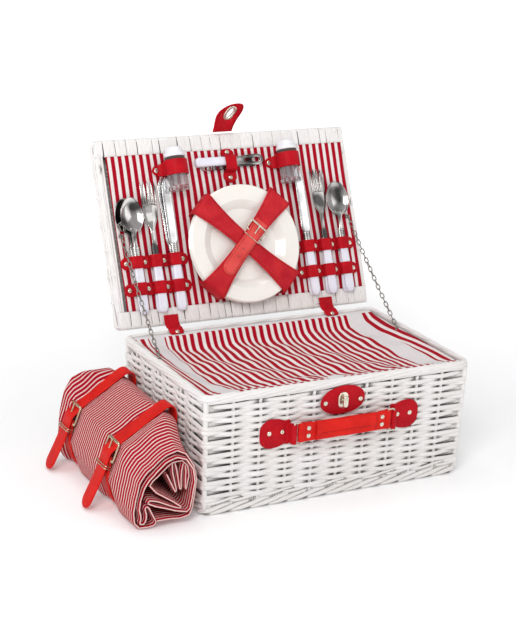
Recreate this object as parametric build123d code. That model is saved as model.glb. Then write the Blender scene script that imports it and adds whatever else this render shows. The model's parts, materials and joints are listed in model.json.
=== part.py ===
from build123d import *
from math import atan2, cos, radians, sin
import os

# Wicker picnic basket, standing open. Origin: middle of the underside. +X right, -Y front, +Z up.
# The lid hangs open on two chains, leaning back, with its crockery strapped to the lining.

# ---------------------------------------------------------------- driving dimensions, in mm
RIM_LENGTH, RIM_WIDTH, RIM_TOP = 460.0, 300.0, 190.5
RIM_THICK, RIM_HIGH = 12.0, 16.5
WALL_FOOT = (448.0, 290.0)
WALL_HEAD = (457.0, 298.0)
WALL_THICK = 8.0
BORDER_HIGH, BORDER_THICK, BORDER_BULGE = 22.0, 10.0, 2.0
PANEL_THICK = 8.0
CORNER = 18.0

LID_LENGTH, LID_WIDTH, LID_DEPTH = 452.0, 304.0, 31.0
LID_LEAN = 24.0
LID_EDGE_CLOSED = (151.0, 191.1)
HINGE_AXIS = (155.0, 191.5)
LID_END_BAND, LID_SIDE_BAND, LID_BAND_THICK = 27.0, 7.0, 12.0

LEATHER = 2.0
PLATE_RADIUS, PLATE_COUNT, PLATE_NEST, PLATE_MIDDLE = 97.5, 4, 3.6, 116.0
CUTLERY_PITCH, CUTLERY_FIRST = 33.0, 106.0
CUTLERY_BANDS = (60.0, 103.0)
SHAKER_X, SHAKER_RADIUS, SHAKER_FOOT, SHAKER_TOP = 102.5, 17.5, 211.0, 284.5
CORKSCREW_U = 255.0
TONGUE_LENGTH, TONGUE_WIDTH, TONGUE_FOLD, TONGUE_THICK = 58.0, 40.0, 50.0, 2.4
CLASP_Z = 157.0
HANDLE_Z, GRIP_Z = 118.0, 120.0
BLANKET_Y = (-155.0, -74.0, 124.0, 136.0)
BELT_Y, BELT_WIDTH, BELT_THICK = (-52.0, 102.0), 32.0, 2.4
CHAIN_WIRE, CHAIN_WIDTH = 0.8, 7.0


# ---------------------------------------------------------------- frames and small helpers
def turned(point, angle):
    """A (y, z) point turned about the hinge axis by an angle in degrees."""
    y, z = point[0] - HINGE_AXIS[0], point[1] - HINGE_AXIS[1]
    c, s = cos(radians(angle)), sin(radians(angle))
    return HINGE_AXIS[0] + y * c - z * s, HINGE_AXIS[1] + y * s + z * c


LID_OPENING = 90 + LID_LEAN
lid_edge = turned(LID_EDGE_CLOSED, -LID_OPENING)
lean = radians(LID_LEAN)
# On the lid: x along the hinge, y up the lining from the hinge edge, z out of the lining.
lid_face = Plane(origin=(0, *lid_edge), x_dir=(1, 0, 0), z_dir=(0, -cos(lean), sin(lean)))

wall_slope = atan2((WALL_HEAD[1] - WALL_FOOT[1]) / 2, RIM_TOP)


def half_size(z):
    """Half length and half width of the wall's outside at height z."""
    share = z / RIM_TOP
    return [(foot + (head - foot) * share) / 2 for foot, head in zip(WALL_FOOT, WALL_HEAD)]


def front_face(z):
    """Plane on the front wall at height z: x along the wall, y up it, z out of it."""
    normal = (0, -cos(wall_slope), -sin(wall_slope))
    return Plane(origin=(0, -half_size(z)[1], z), x_dir=(1, 0, 0), z_dir=normal)


def block(x0, x1, y0, y1, z0, z1):
    return Pos((x0 + x1) / 2, (y0 + y1) / 2, (z0 + z1) / 2) * Box(x1 - x0, y1 - y0, z1 - z0)


def slab(outline, z0, z1):
    return Pos(0, 0, z0) * extrude(outline, z1 - z0)


def soft_edges(shape, radius, axis=Axis.Z):
    """Rounds the edges that run along an axis."""
    return fillet(shape.edges().filter_by(axis), radius)


def band(points, radius, width, thick, across):
    """A strap: a flat section swept along a rounded path, across being the width direction."""
    path = FilletPolyline(*points, radius=radius) if len(points) > 2 else Line(*points)
    start = Plane(origin=path @ 0, x_dir=across, z_dir=path % 0)
    return sweep(start * Rectangle(width, thick), path=path)


def rivet(radius=4.0, high=1.8):
    head = extrude(Circle(radius), high)
    return fillet(head.edges().sort_by(Axis.Z)[-1], high * 0.6)


def mirrored(*shapes):
    return list(shapes) + [mirror(shape, Plane.YZ) for shape in shapes]


def save(name, *shapes, frame=None):
    solids = [solid for shape in shapes for solid in shape.solids()]
    if frame is not None:
        solids = [frame * solid for solid in solids]
    export_step(Compound(children=solids), f"parts/{name}.step")


# ---------------------------------------------------------------- woven body
def tapered_block(inset, z0, z1, radius):
    sections = []
    for z in (z0, z1):
        half_x, half_y = half_size(z)
        outline = RectangleRounded(2 * (half_x - inset), 2 * (half_y - inset), radius)
        sections.append(Pos(0, 0, z) * outline)
    return loft(sections)


wall_top = RIM_TOP - RIM_HIGH
wall_ring = tapered_block(0, BORDER_HIGH, wall_top, 12)
wall_ring -= tapered_block(WALL_THICK, BORDER_HIGH - 1, wall_top + 1, 4)
corner_x, corner_y = WALL_HEAD[0] / 2 - CORNER, WALL_HEAD[1] / 2 - CORNER
FAR = 400.0
save("front_wall", wall_ring & block(-corner_x, corner_x, -FAR, 0, 0, FAR))
save("back_wall", wall_ring & block(-corner_x, corner_x, 0, FAR, 0, FAR))
save("left_wall", wall_ring & block(-FAR, 0, -corner_y, corner_y, 0, FAR))
save("right_wall", wall_ring & block(0, FAR, -corner_y, corner_y, 0, FAR))
post = wall_ring & block(corner_x, FAR, corner_y, FAR, 0, FAR)
posts = mirrored(post, mirror(post, Plane.XZ))
save("corner_posts", *posts)


def rails(outline_size, thick, z0, z1, corner_radius, top_round):
    """A rectangular ring cut into four straight rails."""
    length, width = outline_size
    ring = slab(RectangleRounded(length, width, corner_radius), z0, z1)
    if top_round:
        ring = fillet(ring.edges().group_by(Axis.Z)[-1], top_round)
    ring -= slab(Rectangle(length - 2 * thick, width - 2 * thick), z0 - 1, z1 + 1)
    inside = width / 2 - thick
    cuts = [block(-FAR, FAR, -FAR, -inside, 0, FAR), block(-FAR, FAR, inside, FAR, 0, FAR)]
    cuts += [block(-FAR, 0, -inside, inside, 0, FAR), block(0, FAR, -inside, inside, 0, FAR)]
    return [ring & cut for cut in cuts]


save("rim_rails", *rails((RIM_LENGTH, RIM_WIDTH), RIM_THICK, wall_top, RIM_TOP, 16, 4.5))
border_size = [size + 2 * BORDER_BULGE for size in WALL_FOOT]
save("bottom_border", *rails(border_size, BORDER_THICK, 0, BORDER_HIGH, 14, 0))
inner_size = [size - 2 * BORDER_THICK for size in border_size]
save("bottom_panel", slab(Rectangle(*inner_size), 0, PANEL_THICK))

# ---------------------------------------------------------------- cloth liner and its cover flap
LINER_GAP, LINER_THICK = 1.0, 2.4
liner_low = PANEL_THICK + LINER_GAP
liner_inset = max(WALL_THICK, BORDER_THICK - BORDER_BULGE) + LINER_GAP
liner = tapered_block(liner_inset, liner_low, wall_top - 1, 4)
liner -= tapered_block(liner_inset + LINER_THICK, liner_low + LINER_THICK, wall_top, 3)
save("liner", liner)
COVER_HALF = (208.0, 133.0)
cover = slab(RectangleRounded(2 * COVER_HALF[0], 2 * COVER_HALF[1], 14), wall_top + 1, wall_top + 11)
save("liner_cover", cover)

# ---------------------------------------------------------------- clasp on the front wall
clasp = front_face(CLASP_Z)
clasp_outline = Ellipse(38, 23.5) & Rectangle(76, 44)
PATCH_STAND = 1.8
patch_face = PATCH_STAND + LEATHER
save("clasp_patch", slab(clasp_outline, PATCH_STAND, patch_face), frame=clasp)
plate_high = patch_face + 1.3
save("clasp_plate", slab(RectangleRounded(17, 26, 8), patch_face, plate_high), frame=clasp)
NECK_TOP, HEAD_TOP = 10.8, 14.0
knob = Pos(0, 0, plate_high + 0.05) * extrude(Circle(2.5), NECK_TOP - plate_high)
knob += slab(Rot(0, 0, 90) * SlotOverall(18, 7), NECK_TOP, HEAD_TOP)
save("turn_lock_knob", knob, frame=clasp)

# ---------------------------------------------------------------- front handle
handle = front_face(HANDLE_Z)
PATCH_X, RING_OUT_X, RING_IN_X = 114.0, 85.5, 75.5
RING_STAND, RING_WIRE, RING_HALF = 14.0, 1.6, 17.5
patch = Pos(PATCH_X - 2, 0) * Circle(22) + Pos(PATCH_X - 12, 0) * Rectangle(18, 32)
patch = extrude(patch, LEATHER)
patches = mirrored(Pos(0, 0, 0.1) * patch)
save("handle_patches", *patches, frame=handle)

neck = [(9, 2.3), (6, 2.3), (-3, 10.5), (-3, 17.5), (3, 17.5), (9, 4.4), (9, 2.3)]
neck_face = make_face(Polyline(*[(RING_OUT_X + x, high) for x, high in neck]))
fold = extrude(Plane.XZ * neck_face, 30 / 2, both=True)
fold -= Pos(RING_OUT_X, 0, RING_STAND) * Rot(90, 0, 0) * Cylinder(RING_WIRE + 0.4, 60)
save("handle_folds", *mirrored(fold), frame=handle)

ring_bars = []
for x in (RING_IN_X, RING_OUT_X):
    ring_bars.append(Pos(x, 0, RING_STAND) * Rot(90, 0, 0) * Cylinder(RING_WIRE, 2 * RING_HALF))
for y in (-RING_HALF, RING_HALF):
    bar = Pos((RING_IN_X + RING_OUT_X) / 2, y, RING_STAND) * Rot(0, 90, 0)
    ring_bars.append(bar * Cylinder(RING_WIRE, RING_OUT_X - RING_IN_X + 2 * RING_WIRE))
ring = ring_bars[0] + ring_bars[1:]
save("handle_rings", *mirrored(ring), frame=handle)

grip_drop = GRIP_Z - HANDLE_Z
STRAP_LOW, STRAP_HIGH = RING_STAND + 0.5, RING_STAND + 3.5
strap_end = RING_IN_X - RING_WIRE - 0.6
grip = block(-strap_end, strap_end, grip_drop - 15, grip_drop + 15, STRAP_LOW, STRAP_HIGH)
core = block(-51, 51, grip_drop - 15, grip_drop + 15, STRAP_LOW - 2, STRAP_HIGH + 2)
grip += soft_edges(core, 2.5, Axis.X)
loops = mirrored(Pos(RING_IN_X, -1, RING_STAND) * Rot(90, 0, 0) * Cylinder(RING_WIRE + 2, 24))
holes = mirrored(Pos(RING_IN_X, 0, RING_STAND) * Rot(90, 0, 0) * Cylinder(RING_WIRE + 0.2, 60))
grip = grip + loops - holes
for side in (-1, 1):
    corner_bar = Pos(side * (RING_IN_X + 3), 0, RING_STAND)
    grip -= corner_bar * Box(6, 2 * (RING_WIRE + 0.2), 2 * (RING_WIRE + 0.2))
save("handle_grip", grip, frame=handle)
grip_rivets = [Pos(63, grip_drop + dy, STRAP_HIGH) * rivet(3.6, 1.6) for dy in (-6, 6)]
save("handle_grip_rivets", *mirrored(*grip_rivets), frame=handle)

front_rivets = [clasp * (Pos(x, -2, patch_face) * rivet(3.8)) for x in (-30, 30)]
patch_rivets = [Pos(x, 1.5, LEATHER + 0.1) * rivet(3.8) for x in (PATCH_X - 15, PATCH_X + 7)]
front_rivets += [handle * shape for shape in mirrored(*patch_rivets)]
save("front_rivets", *front_rivets)

# ---------------------------------------------------------------- blanket roll and its belts
drooped = [(-241, 3), (-235, 125), (-328, 82), (-337, 44), (-331, 3)]
belted = [(-234, 3), (-234, 154.5), (-321, 99), (-340, 48), (-324, 3)]
bulged = [(-234, 3), (-238, 143), (-316, 146), (-345, 70), (-326, 3)]
ROUND = 10.0


def roll_outline(points, y, grow=0.0):
    """Closed rounded outline in the (x, z) plane at a given y."""
    face = Polygon(*points, align=None)
    face = fillet(face.vertices(), ROUND)
    if grow:
        face = offset(face, grow)
    return Plane(origin=(0, y, 0), x_dir=(1, 0, 0), z_dir=(0, -1, 0)) * face


front_y, belted_y, bulge_y, back_y = BLANKET_Y
blanket = loft([roll_outline(drooped, front_y), roll_outline(belted, belted_y)], ruled=True)
blanket += extrude(roll_outline(belted, bulge_y), bulge_y - belted_y)
blanket += loft([roll_outline(belted, bulge_y), roll_outline(bulged, back_y)], ruled=True)
save("blanket", blanket)

# The buckles lie on the roll's outer shoulder, which leans in towards the top.
belts, buckles, keepers, prongs = [], [], [], []
BELT_GAP, BUCKLE_DROP, KEEPER_DROP = 0.4, 12.0, 34.5
shoulder, hip = Vector(*belted[2]), Vector(*belted[3])
rise = (shoulder - hip).normalized()
outward = Vector(-rise.Y, rise.X)
belt_face = shoulder + outward * (BELT_GAP + BELT_THICK + 0.1)
TAIL = [(-341.6, 64.0), (-352.0, 42.0), (-371.0, 2.0)]
for y in BELT_Y:
    outer = roll_outline(belted, y + BELT_WIDTH / 2, BELT_GAP + BELT_THICK)
    inner = roll_outline(belted, y + BELT_WIDTH / 2, BELT_GAP)
    belts.append(extrude(outer, BELT_WIDTH) - extrude(inner, BELT_WIDTH))
    belts.append(band([(x, y, z) for x, z in TAIL], 30, BELT_WIDTH, BELT_THICK, (0, 1, 0)))
    face = Plane(origin=(belt_face.X, y, belt_face.Y), x_dir=(0, -1, 0), z_dir=(outward.X, 0, outward.Y))
    frame_ring = RectangleRounded(42, 32, 6) - RectangleRounded(35, 25, 4)
    buckles.append(face * (Pos(0, -BUCKLE_DROP) * slab(frame_ring, 0, 3.4)))
    keeper = RectangleRounded(38, 6, 2) - Rectangle(34, 2.4)
    keepers.append(face * (Pos(0, -KEEPER_DROP) * slab(keeper, 0, 2.4)))
    prong = Pos(0, -BUCKLE_DROP, 4.8) * Rot(90, 0, 0) * Cylinder(1.2, 30)
    prongs.append(face * prong)
save("blanket_belts", *belts)
save("belt_buckles", *buckles)
save("belt_keepers", *keepers)
save("front_belt_prong", prongs[0])
save("back_belt_prong", prongs[1])

# ---------------------------------------------------------------- lid shell and lining
half_lid = LID_LENGTH / 2
top_band = LID_WIDTH - LID_END_BAND
side_x = half_lid - LID_SIDE_BAND
border = [block(-half_lid, half_lid, 0, LID_END_BAND, -LID_BAND_THICK, 0)]
border += [block(-half_lid, half_lid, top_band, LID_WIDTH, -LID_BAND_THICK, 0)]
border += mirrored(block(side_x, half_lid, LID_END_BAND, top_band, -LID_BAND_THICK, 0))
save("lid_border", *border, frame=lid_face)
WEAVE = 8.0
back_low, back_high = -LID_DEPTH, WEAVE - LID_DEPTH
weave_side = [block(-half_lid, half_lid, 0, WEAVE, back_high, -LID_BAND_THICK)]
weave_side += [block(-half_lid, half_lid, LID_WIDTH - WEAVE, LID_WIDTH, back_high, -LID_BAND_THICK)]
weave_side += mirrored(block(half_lid - WEAVE, half_lid, WEAVE, LID_WIDTH - WEAVE, back_high, -LID_BAND_THICK))
save("lid_side_weave", *weave_side, frame=lid_face)
woven_top = soft_edges(block(-half_lid, half_lid, 0, LID_WIDTH, back_low, back_high), 8)
save("lid_woven_panel", woven_top, frame=lid_face)
LINING_FACE = -1.0
save("lid_lining", block(-side_x, side_x, LID_END_BAND, top_band, -9, LINING_FACE), frame=lid_face)

# ---------------------------------------------------------------- plates and their crossed straps
PLATE_SKIN = 2.8
under = [(0, 0), (60, 0), (74, 8.5), (PLATE_RADIUS - 2, 11)]
over = [(PLATE_RADIUS, 12.6), (PLATE_RADIUS - 2, 11 + PLATE_SKIN), (73, 8.5 + PLATE_SKIN)]
over += [(59, PLATE_SKIN), (0, PLATE_SKIN)]
plate_section = make_face(Polyline(*under, *over, (0, 0)))
plate = revolve(Plane.XZ * plate_section, Axis.Z)
stack_foot = LINING_FACE + 0.3
for number in range(PLATE_COUNT):
    placed = Pos(0, PLATE_MIDDLE, stack_foot + number * PLATE_NEST) * plate
    save(f"plate_{number + 1}", placed, frame=lid_face)
stack_top = stack_foot + (PLATE_COUNT - 1) * PLATE_NEST + 11 + PLATE_SKIN

STRAP_REACH, STRAP_FOOT, STRAP_WIDE = PLATE_RADIUS + 2.4, 9.0, 30.0


def plate_strap(level, angle):
    """A strap over the stack: two feet on the lining, two risers and a straight top."""
    low, high = LINING_FACE + 1.1, level + LEATHER / 2
    points = [(-STRAP_REACH - STRAP_FOOT, 0, low), (-STRAP_REACH, 0, low), (-STRAP_REACH, 0, high)]
    points += [(-x, y, z) for x, y, z in reversed(points)]
    strap = band(points, 1.9, STRAP_WIDE, LEATHER, (0, 1, 0))
    return Pos(0, PLATE_MIDDLE, 0) * Rot(0, 0, angle) * strap


level_plain, level_buckled = stack_top + 0.3, stack_top + 0.6 + LEATHER
save("plate_strap_plain", plate_strap(level_plain, -45), frame=lid_face)
save("plate_strap_buckled", plate_strap(level_buckled, 45), frame=lid_face)
on_strap = Pos(0, PLATE_MIDDLE, level_buckled + LEATHER + 0.1) * Rot(0, 0, 45)
BUCKLE_AT, KEEPER_AT = 27.0, 9.0
ring_face = RectangleRounded(20, 37, 4) - RectangleRounded(14, 31, 2.5)
save("plate_strap_buckle", on_strap * (Pos(BUCKLE_AT, 0) * slab(ring_face, 0, 3)), frame=lid_face)
keeper_face = RectangleRounded(7, 37, 2) - Rectangle(4, 32)
save("plate_strap_keeper", on_strap * (Pos(KEEPER_AT, 0) * slab(keeper_face, 0, 2.4)), frame=lid_face)
strap_prong = Pos(BUCKLE_AT, 0, 4.3) * Rot(0, 90, 0) * Cylinder(1.2, 18)
save("plate_strap_prong", on_strap * strap_prong, frame=lid_face)

# ---------------------------------------------------------------- cutlery under its bands
HANDLE_WIDE, HANDLE_THICK, HANDLE_FOOT, HANDLE_TOP = 16.0, 6.0, 20.0, 112.0
FERRULE_TOP, STEEL = 127.0, 1.8
stack_levels = [0.3 + HANDLE_THICK / 2, 0.6 + HANDLE_THICK * 1.5]


def knife_outline():
    return Pos(4.3, 181.2) * RectangleRounded(15.4, 108.4, 6)


def fork_outline():
    outline = Pos(0, 145) * Rectangle(7, 36) + Pos(0, 179) * RectangleRounded(22, 34, 8)
    for x in (-8.6, -2.9, 2.9, 8.6):
        outline += Pos(x, 206) * RectangleRounded(3.4, 46, 1.6)
    return outline


def spoon_outline():
    return Pos(0, 140.5) * Rectangle(7, 27) + Pos(0, 176) * Ellipse(19, 28)


def place_cutlery(shape):
    """One left and one right copy at each of the two levels."""
    return mirrored(*[Pos(0, 0, level) * shape for level in stack_levels])


handle_bar = block(-HANDLE_WIDE / 2, HANDLE_WIDE / 2, HANDLE_FOOT, HANDLE_TOP, -HANDLE_THICK / 2, HANDLE_THICK / 2)
handle_bar = soft_edges(handle_bar, 2.4, Axis.Y)
ferrule = block(-5.5, 5.5, HANDLE_TOP, FERRULE_TOP, -2.7, 2.7)
handles, ferrules = [], []
bays = {"knives": knife_outline, "forks": fork_outline, "spoons": spoon_outline}
for bay, (name, outline) in enumerate(bays.items()):
    x = CUTLERY_FIRST + CUTLERY_PITCH * (bay + 0.5)
    head = slab(outline(), -STEEL / 2, STEEL / 2)
    save(name, *place_cutlery(Pos(x, 0, 0) * head), frame=lid_face)
    handles += place_cutlery(Pos(x, 0, 0) * handle_bar)
    ferrules += place_cutlery(Pos(x, 0, 0) * ferrule)
save("cutlery_handles", *handles, frame=lid_face)
save("cutlery_ferrules", *ferrules, frame=lid_face)

rivet_xs = [CUTLERY_FIRST + CUTLERY_PITCH * step for step in range(4)]
arch_low = LINING_FACE + 0.9
arch_high = stack_levels[1] + HANDLE_THICK / 2 + 1.3
bands, lid_rivets = [], []
for u in CUTLERY_BANDS:
    points = [(rivet_xs[0] - 6, u, arch_low)]
    for left, right in zip(rivet_xs, rivet_xs[1:]):
        points += [(left + 6.2, u, arch_low), (left + 6.2, u, arch_high)]
        points += [(right - 6.2, u, arch_high), (right - 6.2, u, arch_low)]
    points.append((rivet_xs[-1] + 6, u, arch_low))
    bands += mirrored(band(points, 1.4, 20, 1.4, (0, 1, 0)))
    for x in rivet_xs:
        lid_rivets += mirrored(Pos(x, u, arch_low + 0.75) * rivet(3.6, 1.5))
save("cutlery_bands", *bands, frame=lid_face)

# ---------------------------------------------------------------- shakers
SHAKER_N = 0.3 + SHAKER_RADIUS
SHAKER_STRAP_U = 249.0
CAP_FOOT = SHAKER_TOP - 18
jars, straps = [], []
for side, name in ((-1, "left_shaker_cap"), (1, "right_shaker_cap")):
    axis = Pos(side * SHAKER_X, 0, SHAKER_N) * Rot(-90, 0, 0)
    jar = Pos(0, 0, SHAKER_FOOT) * extrude(RegularPolygon(SHAKER_RADIUS, 12), CAP_FOOT - SHAKER_FOOT - 0.3)
    jars.append(axis * jar)
    cap = Pos(0, 0, CAP_FOOT) * extrude(Circle(SHAKER_RADIUS - 0.3), SHAKER_TOP - CAP_FOOT)
    save(name, axis * fillet(cap.edges().sort_by(Axis.Z)[-1], 7), frame=lid_face)
    reach, low, high = SHAKER_RADIUS + 1.5, LINING_FACE + 1.1, SHAKER_N + SHAKER_RADIUS + 1.5
    points = [(-reach - 14, 0, low), (-reach, 0, low), (-reach, 0, high), (reach, 0, high), (reach, 0, low)]
    points.append((reach + 5, 0, low))
    path = FilletPolyline(*points, radius=[3, SHAKER_RADIUS + 1, SHAKER_RADIUS + 1, 2])
    start = Plane(origin=path @ 0, x_dir=(0, 1, 0), z_dir=path % 0)
    loop = sweep(start * Rectangle(25, LEATHER), path=path)
    straps.append(Pos(side * SHAKER_X, SHAKER_STRAP_U, 0) * loop)
    lid_rivets.append(Pos(side * SHAKER_X - reach - 8, SHAKER_STRAP_U, low + LEATHER / 2) * rivet(3.6, 1.5))
save("shaker_jars", *jars, frame=lid_face)
save("shaker_straps", *straps, frame=lid_face)

# ---------------------------------------------------------------- corkscrew and its strap
low = LINING_FACE + 0.6
handle_body = soft_edges(block(-62, -1, CORKSCREW_U - 3, CORKSCREW_U + 8, low, low + 12), 4, Axis.X)
save("corkscrew_handle", handle_body, frame=lid_face)
lever = soft_edges(block(1, 62, CORKSCREW_U - 6, CORKSCREW_U + 8, low + 2, low + 8), 2, Axis.X)
lever -= slab(Pos(48, CORKSCREW_U + 1) * SlotOverall(16, 8), 0, 20)
save("corkscrew_lever", lever, frame=lid_face)
worm = Pos(-30, CORKSCREW_U - 8.5, low + 6) * Rot(0, 90, 0) * Cylinder(4.5, 48)
save("corkscrew_worm", worm, frame=lid_face)
foot, top = LINING_FACE + 1.1, low + 12 + 1.4
points = [(0, CORKSCREW_U - 33, foot), (0, CORKSCREW_U - 15.5, foot), (0, CORKSCREW_U - 15.5, top)]
points += [(0, CORKSCREW_U + 10.5, top), (0, CORKSCREW_U + 10.5, foot), (0, CORKSCREW_U + 21, foot)]
save("corkscrew_strap", band(points, 2.4, 26, LEATHER, (1, 0, 0)), frame=lid_face)
for du in (-25, 17.5):
    lid_rivets.append(Pos(0, CORKSCREW_U + du, foot + LEATHER / 2) * rivet(3.6, 1.5))

# ---------------------------------------------------------------- closing tongue on the lid's front edge
tongue_axis = (LID_WIDTH + 3.0, -6.0)
fold_angle = radians(TONGUE_FOLD)
tongue_face = Plane(origin=(0, *tongue_axis), x_dir=(1, 0, 0), z_dir=(0, -sin(fold_angle), cos(fold_angle)))
slot_at = LID_EDGE_CLOSED[1] - tongue_axis[1] - CLASP_Z
tongue = block(-TONGUE_WIDTH / 2, TONGUE_WIDTH / 2, 1.4, TONGUE_LENGTH - 20, -TONGUE_THICK / 2, TONGUE_THICK / 2)
tongue += slab(Pos(0, TONGUE_LENGTH - 20) * Circle(20), -TONGUE_THICK / 2, TONGUE_THICK / 2)
slot_place = Pos(0, slot_at) * Rot(0, 0, 90)
tongue -= slab(slot_place * SlotOverall(25, 13), -5, 5)
tongue_place = lid_face * tongue_face
save("lid_tongue", tongue, frame=tongue_place)
eyelet = slab(slot_place * SlotOverall(29, 19), -1.7, 1.7)
eyelet -= slab(slot_place * SlotOverall(34, 24), -TONGUE_THICK / 2 - 0.01, TONGUE_THICK / 2 + 0.01)
eyelet += slab(slot_place * SlotOverall(24.8, 12.8), -1.7, 1.7)
eyelet -= slab(slot_place * SlotOverall(20, 9), -5, 5)
save("tongue_eyelet", eyelet, frame=tongue_place)

# ---------------------------------------------------------------- hinge straps between lid and body
HINGE_X = 142.0
rim_in = RIM_WIDTH / 2 - RIM_THICK


def lid_point(u, n):
    """World (y, z) of a point on the lid."""
    return lid_edge[0] + u * sin(lean) - n * cos(lean), lid_edge[1] + u * cos(lean) + n * sin(lean)


points = [(0, *lid_point(14, 1.4)), (0, *lid_point(1, 1.4)), (0, rim_in - 1.4, RIM_TOP + 1.4)]
points.append((0, rim_in - 1.4, RIM_TOP - 11))
hinge_strap = Pos(HINGE_X, 0, 0) * band(points, 2.5, 24, 1.8, (1, 0, 0))
save("hinge_straps", *mirrored(hinge_strap))
lid_rivets += mirrored(Pos(HINGE_X, 21, 0.1) * rivet(3.8, 1.6))
save("lid_rivets", *lid_rivets, frame=lid_face)

# ---------------------------------------------------------------- stay chains and their eyes
LID_EYE, BASE_EYE = Vector(208, *lid_point(148, 5)), Vector(213, 40, 183)
span = LID_EYE - BASE_EYE
direction = span.normalized()
along_x = Vector(1, 0, 0)
EYE_RADIUS, EYE_GAP, LINK_COUNT = 3.2, 6.9, 25
eye_ring = Torus(EYE_RADIUS, CHAIN_WIRE)
lid_ring = Plane(origin=LID_EYE, x_dir=along_x, z_dir=along_x.cross(direction)) * eye_ring
lid_boss = lid_face * (Pos(208, 148, LINING_FACE + 0.1) * extrude(Circle(3), 3))
save("lid_chain_eyes", *mirrored(lid_ring + lid_boss))
base_ring = Plane(origin=BASE_EYE, x_dir=along_x, z_dir=along_x.cross(direction)) * eye_ring
base_pin = Pos(BASE_EYE.X + 3.5, BASE_EYE.Y, BASE_EYE.Z) * Rot(0, 90, 0) * Cylinder(1.2, 2.9)
save("basket_chain_eyes", *mirrored(base_ring + base_pin))

pitch = (span.length - 2 * EYE_GAP) / (LINK_COUNT - 1)
link_bend = CHAIN_WIDTH / 2 - CHAIN_WIRE
link_straight = pitch + 2 * CHAIN_WIRE + 0.3 - 2 * link_bend
link_path = SlotCenterToCenter(link_straight, 2 * link_bend).wire()
link_start = Plane(origin=link_path @ 0, z_dir=link_path % 0)
link = sweep(link_start * Circle(CHAIN_WIRE), path=link_path)
links = []
for index in range(LINK_COUNT):
    centre = BASE_EYE + direction * (EYE_GAP + index * pitch)
    sideways = along_x.cross(direction) if index % 2 else along_x
    links.append(Plane(origin=centre, x_dir=direction, z_dir=sideways) * link)
save("right_chain", *links)
save("left_chain", *[mirror(link, Plane.YZ) for link in links])
print("chain", round(span.length, 1), "mm, pitch", round(pitch, 2))
print("lid opening", LID_OPENING, "lid edge", [round(v, 2) for v in lid_edge], "stack top", round(stack_top, 1))
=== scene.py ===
import json
import bpy
import bmesh
import numpy as np
from math import atan2, ceil, cos, degrees, pi, radians, sin, sqrt
from mathutils import Matrix, Vector


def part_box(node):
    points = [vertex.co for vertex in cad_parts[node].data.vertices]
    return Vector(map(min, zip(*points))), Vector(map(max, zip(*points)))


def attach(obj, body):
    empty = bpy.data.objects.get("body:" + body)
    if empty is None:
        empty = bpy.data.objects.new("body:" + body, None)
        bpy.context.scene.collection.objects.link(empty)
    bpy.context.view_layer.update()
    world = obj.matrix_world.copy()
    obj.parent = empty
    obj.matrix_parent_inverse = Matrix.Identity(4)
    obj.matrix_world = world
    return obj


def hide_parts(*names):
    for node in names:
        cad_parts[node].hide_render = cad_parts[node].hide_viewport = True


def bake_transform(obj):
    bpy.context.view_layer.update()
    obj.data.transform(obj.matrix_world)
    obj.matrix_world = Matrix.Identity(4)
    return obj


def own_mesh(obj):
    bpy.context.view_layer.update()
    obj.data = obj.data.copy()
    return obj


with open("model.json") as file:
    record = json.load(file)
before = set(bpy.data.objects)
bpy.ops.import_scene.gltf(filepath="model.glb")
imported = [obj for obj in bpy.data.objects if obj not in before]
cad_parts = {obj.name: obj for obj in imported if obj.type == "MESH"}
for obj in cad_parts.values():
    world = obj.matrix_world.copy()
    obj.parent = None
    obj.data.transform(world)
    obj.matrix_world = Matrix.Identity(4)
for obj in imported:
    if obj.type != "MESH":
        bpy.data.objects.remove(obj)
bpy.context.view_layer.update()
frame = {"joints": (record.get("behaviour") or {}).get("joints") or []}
MM = 0.001
random = np.random.default_rng(11)
X, Y, Z = np.eye(3)


# ------------------------------------------------------------------ places on the object, in mm
class Place:
    """A local frame: maps (x, y, z) points in it to the object's own frame."""

    def __init__(self, origin, x_axis, y_axis):
        self.origin = np.array(origin, float)
        self.axes = np.array([x_axis, y_axis, np.cross(x_axis, y_axis)], float)

    def __call__(self, points):
        return self.origin + np.asarray(points, float) @ self.axes

    def on(self, origin, angle=0.0):
        """A frame on this one, shifted to origin and turned about its own z axis."""
        c, s = cos(radians(angle)), sin(radians(angle))
        x_axis, y_axis, _ = self.axes
        return Place(self(origin), c * x_axis + s * y_axis, c * y_axis - s * x_axis)


def node_box(node):
    low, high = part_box(node)
    return np.array(low) / MM, np.array(high) / MM


# The lid's own frame: x along the basket, y up the open lid, z out of its inside, from its lower edge.
lid_hinge = next(joint for joint in frame["joints"] if joint["name"] == "lid_hinge")
hinge = np.array(lid_hinge["pos_m"]) / MM
opening = radians(lid_hinge["range_deg"][1])
lean = opening - pi / 2
WORLD = Place((0, 0, 0), X, Y)
CLOSED_EDGE = (-4.0, -0.4)  # (y, z) of the lid's edge from the hinge axis, with the lid closed
edge_y = CLOSED_EDGE[0] * cos(opening) + CLOSED_EDGE[1] * sin(opening)
edge_z = CLOSED_EDGE[1] * cos(opening) - CLOSED_EDGE[0] * sin(opening)
LID = Place((0, hinge[1] + edge_y, hinge[2] + edge_z), X, (0, sin(lean), cos(lean)))

rim_low, rim_high = node_box("rim_rails")
foot_high = node_box("bottom_border")[1]
WALL_TOP, RIM_TOP = rim_low[2], rim_high[2]
HALF_FOOT, HALF_HEAD = np.array([224.0, 145.0]), np.array([228.5, 149.0])
SLOPE = atan2(HALF_HEAD[1] - HALF_FOOT[1], RIM_TOP)


def half_size(z):
    """Half the outside length and depth of the body at a height."""
    return HALF_FOOT + (HALF_HEAD - HALF_FOOT) * z / RIM_TOP


def front_face(z):
    """A frame on the sloping front wall: x along it, y up it, z out of it."""
    return Place((0, -half_size(z)[1], z), X, (0, -sin(SLOPE), cos(SLOPE)))


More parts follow.
